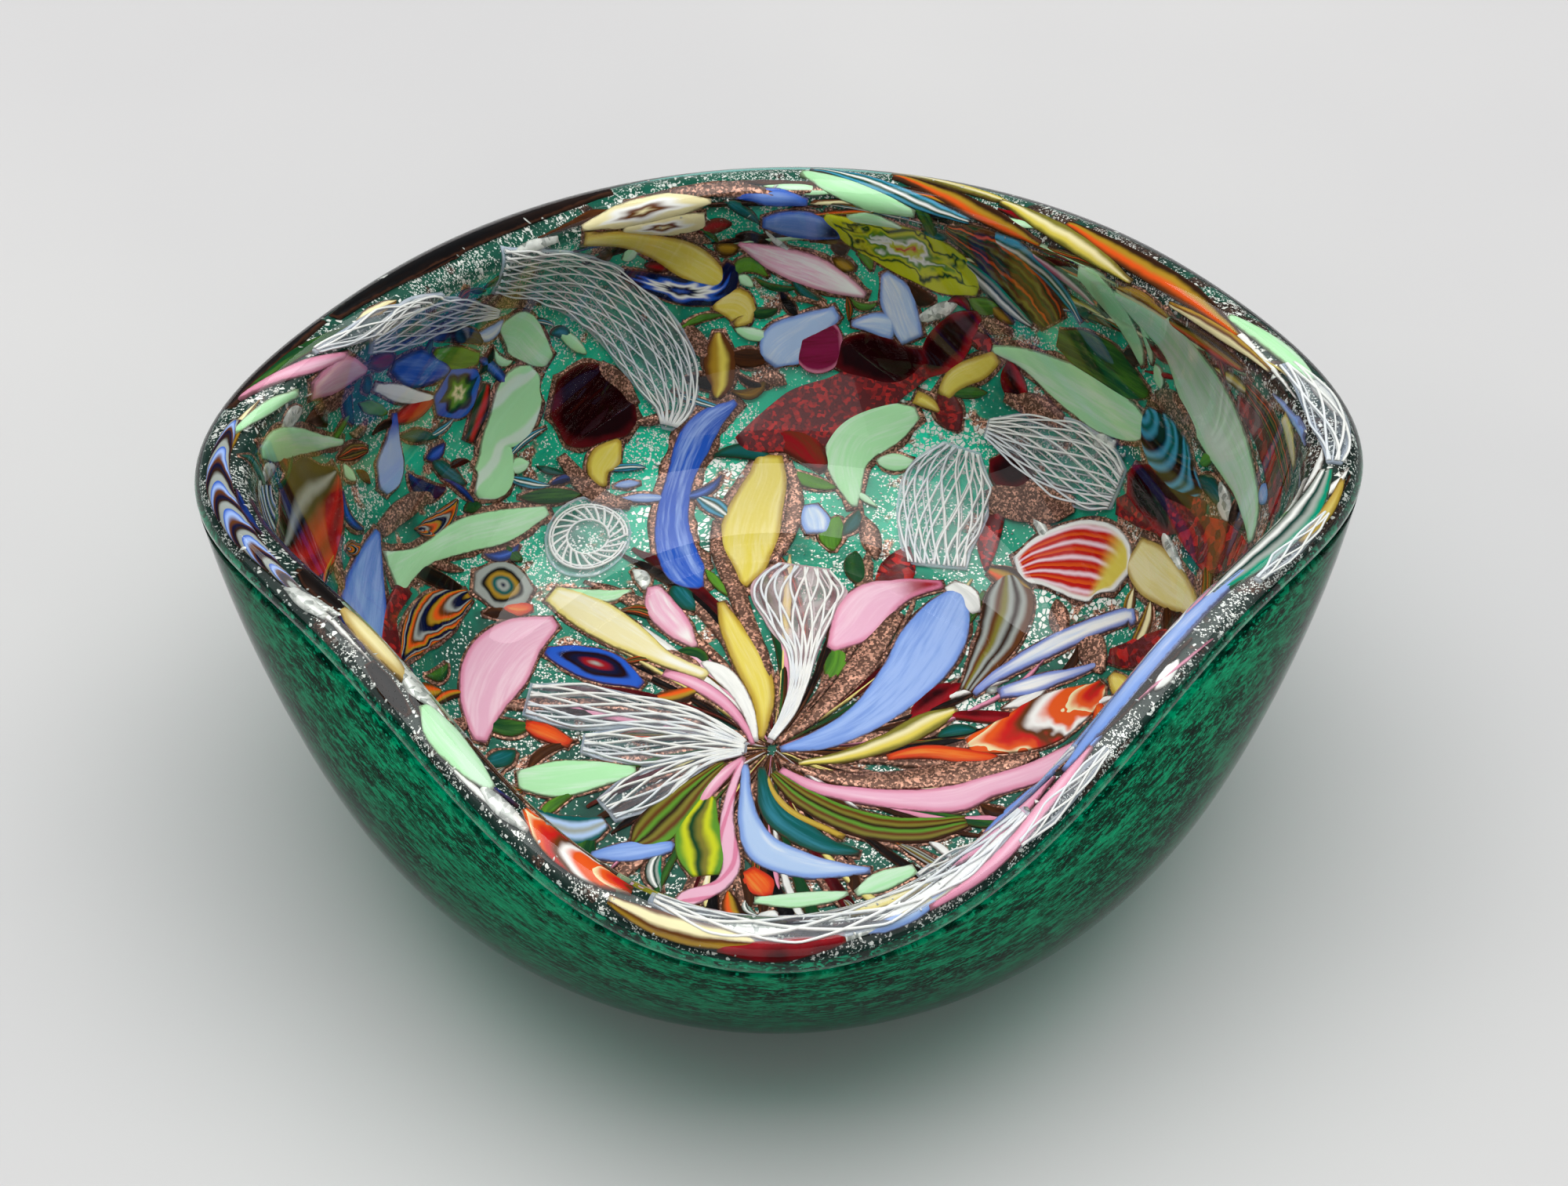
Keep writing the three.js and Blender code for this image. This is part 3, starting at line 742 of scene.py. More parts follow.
def link_mesh(name, points, faces, materials, face_slots=None, uv=None, **attributes):
    """Makes a smooth mesh object. attributes are per-point numbers or vectors."""
    mesh = bpy.data.meshes.new(name)
    mesh.from_pydata([tuple(p) for p in points], [], faces)
    for material in materials:
        mesh.materials.append(material)
    if face_slots is not None:
        mesh.polygons.foreach_set("material_index", np.asarray(face_slots, np.int32))
    mesh.polygons.foreach_set("use_smooth", np.ones(len(mesh.polygons), bool))
    if uv is not None:
        corners = np.empty(len(mesh.loops), np.int32)
        mesh.loops.foreach_get("vertex_index", corners)
        layer = mesh.uv_layers.new(name="strip")
        layer.data.foreach_set("uv", np.asarray(uv, np.float32)[corners].ravel())
    for label, values in attributes.items():
        values = np.asarray(values, np.float32)
        if values.ndim == 1:
            mesh.attributes.new(label, "FLOAT", "POINT").data.foreach_set("value", values)
        else:
            mesh.attributes.new(label, "FLOAT_VECTOR", "POINT").data.foreach_set(
                "vector", values.ravel())
    mesh.validate()
    obj = bpy.data.objects.new(name, mesh)
    bpy.context.scene.collection.objects.link(obj)
    return obj


def mixed(*names):
    """The mixed glasses of these names."""
    return [bpy.data.materials[name] for name in names]


def own(obj, node=None):
    """The piece rides on the bowl and may stand for a CAD node."""
    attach(obj, "root")
    if node:
        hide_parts(node)


def azimuths():
    """Directions round the bowl, a little closer together at the two corners."""
    turn = np.linspace(0, 2 * np.pi, AROUND, endpoint=False)
    return turn - CORNER_CROWDING * np.sin(2 * turn) / 2


def shell(name, rings, materials):
    """A closed shell from rings of (share, depth, beyond, slot of the band that follows).

    A ring whose beyond is None follows the collage, and may reach over the lip.
    """
    azimuth = azimuths()
    body = np.stack([
        collage_point(azimuth, ring[0] * REACH, ring[1]) if ring[2] is None
        else glass_point(azimuth, *ring[:3]) for ring in rings])
    share, depth, slots = (np.array([ring[k] for ring in rings], float) for k in (0, 1, 3))
    first, last = glass_point(0, 0, depth[0]), glass_point(0, 0, depth[-1])
    points = np.concatenate([[first], body.reshape(-1, 3), [last]])
    flat = share * REACH
    plan = np.stack([flat[:, None] * np.cos(azimuth), flat[:, None] * np.sin(azimuth),
                     np.broadcast_to(depth[:, None], body.shape[:2])], axis=-1).reshape(-1, 3)
    lie = np.concatenate([[[0, 0, depth[0]]], plan, [[0, 0, depth[-1]]]])
    radius = np.hypot(points[:, 0], points[:, 1]) / MM
    heading = np.arctan2(points[:, 1], points[:, 0])
    # stretched the way the hot wall was spun: short round the bowl, long up it
    lean = heading + lie_share(lie) * STREAK_TURN
    band = np.stack([np.cos(lean) * radius * STREAK_ROUND, np.sin(lean) * radius * STREAK_ROUND,
                     lie_share(lie) * STREAK_UP], axis=-1)
    faces, face_slots = [], []

    def at(ring, i):
        return 1 + ring * AROUND + i % AROUND

    end = len(points) - 1
    for i in range(AROUND):
        faces.append((0, at(0, i + 1), at(0, i)))
        face_slots.append(int(slots[0]))
        for ring in range(len(rings) - 1):
            faces.append((at(ring, i), at(ring, i + 1), at(ring + 1, i + 1), at(ring + 1, i)))
            face_slots.append(int(slots[ring]))
        faces.append((at(len(rings) - 1, i), at(len(rings) - 1, i + 1), end))
        face_slots.append(int(slots[-1]))
    uv = np.stack([heading / (2 * np.pi) + 0.5, lie_share(lie)], axis=-1)
    return link_mesh(name, points, faces, materials, face_slots, uv, lie=lie, band=band)


def lie_share(lie):
    """Share of the way from centre to rim of points given on the flat plan."""
    return np.hypot(lie[:, 0], lie[:, 1]) / REACH


def wall_shares():
    """Shares of the way from centre to rim for a shell's rings."""
    wall = np.linspace(0, 1, WALL_RINGS + 1)[1:]
    return np.concatenate([np.linspace(0, FLAT_SHARE, BASE_RINGS + 1)[1:],
                           FLAT_SHARE + (1 - FLAT_SHARE) * wall])


def smooth_line(points, step):
    """A Catmull-Rom line through points, sampled about every step millimetres."""
    points = np.array(points, float)
    ends = [2 * points[0] - points[1], 2 * points[-1] - points[-2]]
    knots = np.concatenate([[ends[0]], points, [ends[1]]])
    length = np.hypot(*np.diff(points[:, :2], axis=0).T).sum()
    count = max(LEAST_CELLS, int(round(length / step)))
    place = np.linspace(0, len(points) - 1, count + 1)
    index = np.minimum(place.astype(int), len(points) - 2)
    t = (place - index)[:, None]
    a, b, c, d = (knots[index + k] for k in range(4))
    line = 0.5 * (2 * b + (c - a) * t + (2 * a - 5 * b + 4 * c - d) * t ** 2
                  + (3 * b - a - 3 * c + d) * t ** 3)
    return line


class Strip:
    """A chip's outline on the flat plan: a centre line with half widths."""

    def __init__(self, points, step=LINE_STEP, grow=0.0, ragged=0.0, rng=None, spread=1.0):
        line = smooth_line(points, step)
        self.centre = line[:, :2]
        run = np.gradient(self.centre, axis=0)
        self.along = run / np.hypot(run[:, 0], run[:, 1])[:, None]
        if grow:
            self.centre[0] -= self.along[0] * grow
            self.centre[-1] += self.along[-1] * grow
        steps = np.hypot(*np.diff(self.centre, axis=0).T)
        self.travel = np.concatenate([[0], np.cumsum(steps)])
        self.half = np.maximum(line[:, 2] * spread, LEAST_HALF) + grow
        self.left = self.half.copy()
        self.right = self.half.copy()
        if ragged:
            for side in (self.left, self.right):
                side += ragged * np.convolve(rng.normal(size=len(side) + 2),
                                             [0.3, 0.4, 0.3], "valid")
                np.clip(side, LEAST_HALF, None, out=side)

    def sample(self, u, s):
        """Plan places for u along (0..1) and s across (-1..1)."""
        travel = np.asarray(u) * self.travel[-1]
        x, y, left, right, ax, ay = (
            np.interp(travel, self.travel, v)
            for v in (self.centre[:, 0], self.centre[:, 1], self.left, self.right,
                      self.along[:, 0], self.along[:, 1]))
        side = s * np.where(np.asarray(s) < 0, right, left)
        return x - ay * side, y + ax * side

    def edge_distance(self, u, s):
        """Distance in from the outline, in millimetres."""
        travel = np.asarray(u) * self.travel[-1]
        half = np.interp(travel, self.travel, self.half)
        ends = np.minimum(travel, self.travel[-1] - travel)
        return np.minimum(half * (1 - np.abs(s)), ends)


def patch(strip, across, top, bottom, dome, place=plan_point, seed=0.0):
    """Points, faces and coordinates of one chip: a domed top on a flat underside."""
    rows = len(strip.travel)
    u = np.linspace(0, 1, rows)[:, None]
    s = np.sin(np.linspace(-1, 1, across + 1) * np.pi / 2)[None, :]
    u, s = np.broadcast_arrays(u, s)
    x, y = strip.sample(u, s)
    fall = np.abs(s) ** 3
    ends = np.clip(np.minimum(u, 1 - u) * (rows - 1) / END_ROWS, 0, 1)
    fall = 1 - (1 - fall) * ends
    upper = place(x, y, top - dome * fall)
    lower = place(x, y, np.full_like(x, bottom))
    points = np.concatenate([upper.reshape(-1, 3), lower.reshape(-1, 3)])
    edge = strip.edge_distance(u, s)
    travel = u * strip.travel[-1]
    half = np.interp(travel, strip.travel, strip.half)
    lie = np.stack([travel, s * half, np.full_like(x, seed)], axis=-1).reshape(-1, 3)
    uv = np.stack([u, (s + 1) / 2], axis=-1).reshape(-1, 2)
    row = across + 1
    faces = []
    low = rows * row
    for i in range(rows - 1):
        for j in range(across):
            a = i * row + j
            faces.append((a, a + row, a + row + 1, a + 1))
            faces.append((low + a, low + a + 1, low + a + row + 1, low + a + row))
        a, b = i * row, i * row + across
        faces.append((a, low + a, low + a + row, a + row))
        faces.append((b, b + row, low + b + row, low + b))
    for j in range(across):
        a, b = j, (rows - 1) * row + j
        faces.append((a, a + 1, low + a + 1, low + a))
        faces.append((b, low + b, low + b + 1, b + 1))
    uv, edge, lie = (np.concatenate([v, v]) for v in (uv, edge.reshape(-1), lie))
    return points, faces, uv, edge, lie


def across_cells(strip):
    """How many cells a chip gets across its width."""
    return int(np.clip(np.ceil(2 * strip.half.max() / CELL_WIDTH), 4, 16))


def join_patches(name, patches, materials, slots=None):
    """One object out of several patches."""
    points, faces, uv, edge, lie, face_slots = [], [], [], [], [], []
    base = 0
    for k, (p, f, t, e, l) in enumerate(patches):
        points.append(p)
        faces += [tuple(base + i for i in face) for face in f]
        uv.append(t)
        edge.append(e)
        lie.append(l)
        face_slots += [0 if slots is None else slots[k]] * len(f)
        base += len(p)
    return link_mesh(name, np.concatenate(points), faces, materials, face_slots,
                     np.concatenate(uv), edge=np.concatenate(edge), lie=np.concatenate(lie))


def thread(strip, across_of, width, depth, count=60, place=plan_point):
    """One drawn thread that wanders across a strip; across_of gives s for u."""
    u = np.linspace(THREAD_INSET, 1 - THREAD_INSET, count)
    s = across_of(u)
    x, y = strip.sample(u, s)
    run_x, run_y = np.gradient(x), np.gradient(y)
    length = np.maximum(np.hypot(run_x, run_y), 1e-6)
    off_x, off_y = -run_y / length * width, run_x / length * width
    low, high = depth
    rails = [place(x - off_x, y - off_y, np.full_like(x, low)),
             place(x - off_x * THREAD_SHOULDER, y - off_y * THREAD_SHOULDER,
                   np.full_like(x, high)),
             place(x + off_x * THREAD_SHOULDER, y + off_y * THREAD_SHOULDER,
                   np.full_like(x, high)),
             place(x + off_x, y + off_y, np.full_like(x, low))]
    points = np.stack(rails, axis=1).reshape(-1, 3)
    faces = []
    for i in range(count - 1):
        for j in range(4):
            a, b = i * 4 + j, i * 4 + (j + 1) % 4
            faces.append((a, a + 4, b + 4, b))
    faces.append((0, 1, 2, 3))
    faces.append(tuple((count - 1) * 4 + j for j in (3, 2, 1, 0)))
    uv = np.repeat(np.stack([u, (s + 1) / 2], axis=-1), 4, axis=0)
    edge = np.full(len(points), THREAD_EDGE)
    lie = np.repeat(np.stack([u * strip.travel[-1], s, s * 0], axis=-1), 4, axis=0)
    return points, faces, uv, edge, lie


# ---------------- the collage

# Each chip that the solid model holds: node, look, copper border and centre line as
# [x, y, half width] in millimetres on the flat plan
CHIPS = [
    ("lattice_cane_large", "lattice", 0.5, [[-68, 80, 4.6], [-52, 84, 5.8], [-40, 83.6, 6.2],
     [-30, 79.5, 6.4], [-22, 72.5, 6.2], [-18.2, 65, 4], [-18.5, 59, 0.8]]),
    ("lattice_cane_rim", "lattice", 0.5, [[-95, 44.5, 1.5], [-88, 55, 4.6], [-80, 62.3, 4.2],
     [-70, 68.6, 2.8], [-60, 72.5, 0.5]]),
    ("lattice_basket", "lattice", 0.5, [[31, 53, 3], [28, 48, 6.4], [25.8, 42, 6.6], [23.8, 36, 5.2],
     [23, 30.5, 4]]),
    ("lattice_leaf", "lattice", 0.8, [[36, 55.5, 1.5], [42, 51.5, 4.5], [49, 45.5, 6.4], [54.5, 40, 5.5],
     [57.5, 36.2, 3.2]]),
    ("lattice_fan", "lattice_pink", 0.5, [[4, 30.5, 3.2], [3.2, 26, 6], [3.2, 20, 4.2], [3.6, 14, 1.9],
     [3, 8, 1.1], [1.6, 2.5, 0.8], [-1, -2.6, 0.35]]),
    ("lattice_cane_west", "lattice", 0.5, [[-34.5, 5.5, 2.6], [-27, 4.2, 3.6], [-19, 3, 2.6],
     [-12, 1.5, 2], [-7, -1.2, 1], [-4, -3.2, 0.4]]),
    ("white_ring_murrine", "lattice_ring", 0.6, "round", (-28.5, 36.5, 7)),
    ("mint_chip_back", "mint", 0.7, [[-58, 70, 0.8], [-53, 70.6, 4], [-47, 68.6, 2.8],
     [-43.5, 67.5, 1.2]]),
    ("mint_twist", "mint_twist", 0.9, [[-46, 65, 1.5], [-47.5, 61, 4.2], [-47.5, 55, 4.4],
     [-49, 50, 2.8], [-48, 47, 3.2], [-47.5, 43, 3.4], [-49.5, 39.5, 0.6]]),
    ("mint_leaf_left", "mint", 0.8, [[-104, 8, 0.8], [-100.6, 14, 2.4], [-95, 21, 2], [-88, 27.5, 1],
     [-84, 31, 0.4]]),
    ("mint_ribbon_left", "mint", 1.0, [[-62.5, 19.5, 3.4], [-57, 25.5, 1.6], [-50, 32, 2.6],
     [-43, 36, 2.6], [-36, 40.5, 0.8]]),
    ("mint_bent_chip", "mint", 0.8, [[24.5, 61, 1], [20, 60, 3.4], [14, 58, 4.4], [11.5, 53, 3],
     [11.8, 47, 1.4], [12, 43.8, 0.4]]),
    ("mint_diagonal", "mint", 1.0, [[41.5, 69.3, 0.6], [48, 65, 1.8], [54, 58.5, 3.4], [60, 51.5, 4.2],
     [65.5, 45, 3], [68, 42.5, 1.6]]),
    ("mint_stripe_rim", "mint", 0.6, [[74.2, 74, 1.4], [77, 68, 3.2], [78, 61, 3], [76.5, 54.5, 1.8],
     [75, 51, 0.5]]),
    ("big_mint_leaf", "mint_soft", 0.8, [[81, 64, 0.8], [84.5, 57, 2.8], [88, 48, 4.6], [86.8, 38, 6.3],
     [86, 29, 5.4], [85.5, 20, 3.2], [84.5, 13, 2.2], [82.5, 8.5, 0.6]]),
    ("mint_leaf_southwest", "mint", 0.9, [[-35.5, -9.5, 1.4], [-30, -8.9, 2.8], [-25, -8.2, 2.2],
     [-19, -7.4, 0.6]]),
    ("mint_leaf_front", "mint", 0.8, [[-76, -50, 0.7], [-78, -42, 3.6], [-77, -34, 5], [-74, -26, 4],
     [-70, -18, 1.2]]),
    ("cobalt_leaf", "cobalt", 0.6, [[-83, 48.5, 1], [-76, 52.5, 3.2], [-69, 56, 2], [-66, 57.5, 0.5]]),
    ("blue_leaf_left", "blue_grey", 0.8, [[-68, 24.5, 0.6], [-67.6, 19, 2.6], [-67, 11, 4.6],
     [-67, 4, 4.2], [-68, -3, 1]]),
    ("blue_chip_rim", "blue_purple", 0.6, [[-3, 101.4, 1], [2, 101.2, 2.6], [8, 100.2, 2.8],
     [12.5, 98.4, 1.6], [14, 97, 0.4]]),
    ("blue_ribbon_back", "cobalt_ribbon", 1.1, [[-7, 65.5, 0.5], [-11.5, 61.5, 2.2], [-13.8, 57, 2.6],
     [-15.3, 50, 2], [-15.8, 42, 2.2], [-14.6, 35, 2.5], [-12.5, 29, 2.4], [-10.5, 26.3, 0.5]]),
    ("blue_ribbon_front", "cobalt_ribbon", 1.0, [[14, -86, 0.6], [17, -78, 2.2], [17.5, -69, 2.6],
     [16, -60, 2.6], [15, -50, 2.2], [15, -41, 0.7]]),
    ("ice_blue_leaf_back", "ice", 0.5, [[22.5, 88.5, 0.8], [24, 84, 3], [25, 79, 2.8], [26, 74.5, 2]]),
    ("ice_blue_oval", "ice", 0.5, [[-1.5, 73, 1.5], [1, 76, 4], [6, 79, 3], [12, 82, 1.2]]),
    ("ice_blue_ribbon_centre", "blue_soft", 0.9, [[0.5, -3.8, 0.4], [6, -2.2, 1.5], [12, 1.8, 2.3],
     [17.5, 8.5, 3.4], [21.5, 16, 4], [24, 22, 2.8], [26, 26, 0.8]]),
    ("ice_blue_leaf_south", "ice", 0.5, [[-4.2, -6.5, 0.4], [-4.2, -12, 0.8], [-3.6, -17, 1.4],
     [-1.5, -21.5, 2.2], [3, -24, 2], [8, -25, 1.2], [12.5, -25, 0.4]]),
    ("yellow_ribbon_back", "yellow", 0.9, [[-46, 94.6, 1.2], [-36, 96.2, 1.8], [-27, 95.2, 2.5],
     [-19, 92.5, 3.4], [-13, 89.5, 2.4], [-10.5, 88, 0.8]]),
    ("yellow_arc", "yellow", 0.8, [[29.5, 63, 1.2], [33, 65.8, 2], [38, 66.5, 2], [42, 67.5, 1.2]]),
    ("yellow_ribbon_centre", "yellow", 1.3, [[-1, 55.2, 1.8], [-1.5, 50, 2.9], [-3.2, 43, 3.8],
     [-4, 36, 3.8], [-3.8, 31, 2.4], [-4.5, 26.5, 0.5]]),
    ("yellow_ribbon_inner", "yellow", 1.1, [[-7.8, 23.5, 0.5], [-6, 18, 1.5], [-3.6, 12, 2],
     [-1.9, 6, 1.5], [-1.8, 1, 0.8], [-2.2, -2, 0.4]]),
    ("yellow_leaf_front", "yellow", 1.0, [[66, -66, 0.7], [64, -58, 2.8], [60, -50, 3.4], [54, -43, 2.6],
     [48, -38, 0.7]]),
    ("cream_ribbon", "cream", 0.9, [[-32.5, 25.3, 1.4], [-27, 22.3, 2.6], [-21, 17.5, 2.4],
     [-15.5, 13, 1.2], [-9.5, 9.5, 0.8]]),
    ("cream_leaf_right", "cream_soft", 0.8, [[57, 25.5, 2.4], [59.5, 21, 3.6], [63, 15.5, 3],
     [66, 10.5, 1.7], [67, 6.5, 0.6]]),
    ("pink_leaf_rim", "pink", 0.7, [[-100.6, 27.2, 1.3], [-97, 35, 3], [-92, 40.5, 1.2], [-90, 42, 0.4]]),
    ("pink_leaf_large", "pink", 0.9, [[-42, -3.5, 1], [-42, 4, 3.6], [-40, 10.5, 5], [-36.5, 16, 4],
     [-31, 20, 1]]),
    ("pink_white_leaf", "pink_white", 0.8, [[-8, 96.5, 0.4], [-1, 93.5, 2.2], [7, 90.5, 2.8],
     [13, 87.5, 2], [18, 84.5, 0.5]]),
    ("pink_leaf_small", "pink_white", 0.8, [[-17.2, 26.6, 0.8], [-16, 22.5, 2], [-13.5, 18.5, 1.7],
     [-11.2, 15, 0.4]]),
    ("pink_leaf_right", "pink_red_end", 0.6, [[7.5, 14.5, 0.6], [10.5, 18.5, 2.8], [13.5, 23.5, 3.2],
     [18, 26, 1.8], [23.5, 27, 0.6]]),
    ("pink_ribbon_long", "pink", 0.9, [[0.5, -7.5, 0.5], [5, -10.5, 0.9], [11, -12, 1.2],
     [18, -12.8, 1.6], [24, -12.5, 2], [29.5, -10, 1.6], [38, -7.2, 1.8], [46.5, -3.2, 0.8]]),
    ("pink_leaf_front", "pink", 0.9, [[-24, -84, 0.7], [-28, -76, 3.2], [-29, -67, 4], [-27, -58, 3.2],
     [-23, -50, 0.8]]),
    ("ruby_striped_chip", "ruby_striped", 1.0, [[-89, 1, 1.5], [-86, 8, 6], [-84.5, 15, 8],
     [-82.5, 21, 6], [-82, 26, 1.2]]),
    ("ruby_round_chip", "ruby_deep", 0.9, [[-40.4, 61, 3], [-35.5, 61.3, 7], [-29.5, 60.5, 6.2],
     [-24.5, 58.5, 1.5]]),
    ("ruby_disc", "ruby_disc", 0.2, "round", (8, 76, 4.8)),
    ("ruby_chip_back", "ruby_deep", 0.5, [[11, 74, 2], [16, 73, 4], [22, 70.5, 4], [28, 71.5, 1]]),
    ("ruby_chip_right", "ruby", 0.5, [[61.5, 38.2, 1], [62.8, 34, 4.2], [64.5, 29, 3],
     [64.5, 24.5, 1.2]]),
    ("star_murrine", "star", 0.5, [[-65.5, 50, 1.5], [-61.5, 55, 4.5], [-58.5, 60, 1]]),
    ("flame_murrine", "flame", 0.5, [[-57.5, 6, 0.8], [-55, 12.5, 2.8], [-51, 18, 3.2],
     [-46.5, 22.5, 1]]),
    ("eye_murrine", "eye", 0.6, [[-46, 25, 1.5], [-41, 25.5, 3.8], [-36, 24, 1.6]]),
    ("green_yellow_murrine", "lime_flowers", 0.7, [[11, 102.6, 0.8], [17, 98.5, 3], [24, 95, 4.5],
     [32, 90.5, 5.2], [38, 86, 4.6], [43, 81.5, 1.8]]),
    ("orange_shell_murrine", "shell", 0.6, [[35.5, 29, 2], [41, 29.5, 4.4], [47, 28, 6], [51.5, 25, 5.4],
     [53.5, 21.5, 1.8]]),
    ("orange_white_murrine", "orange_white", 0.6, [[26, -3, 1.2], [31, -1.5, 2.6], [38, 1.5, 4],
     [45, 3.8, 2.4], [47.5, 5.5, 0.8]]),
    ("olive_leaf", "olive_streaks", 0.6, [[40, 96.2, 1.2], [46, 91.5, 3.5], [52, 85, 5.5], [56, 78, 5.5],
     [57.5, 72, 4.4], [57.5, 69, 3]]),
    ("grey_striped_leaf", "grey_stripes", 0.6, [[34, 29, 1], [33.5, 24, 3.4], [31.5, 18, 3],
     [28.5, 12, 1.8], [26, 7, 0.8]]),
    ("brown_leaf_southwest", "green_stripes", 0.6, [[-7, -6.2, 0.4], [-10.5, -10, 1.4],
     [-14, -14.5, 2.6], [-17, -18.5, 2.4], [-19, -20.5, 0.8]]),
    ("olive_ribbon_south", "green_stripes", 0.6, [[-0.5, -8, 0.5], [3, -12, 1.4], [8, -15.5, 1.8],
     [14, -17.8, 2], [20, -18, 1.8], [25.5, -16.5, 0.8]]),
    ("turquoise_striped_chip", "turquoise_bands", 0.8, [[69.5, 44.5, 1.5], [70, 41, 3.6],
     [70.8, 37.5, 4.4], [71.5, 33, 4.6], [73, 29, 2.6], [75, 25.5, 0.8]]),
]

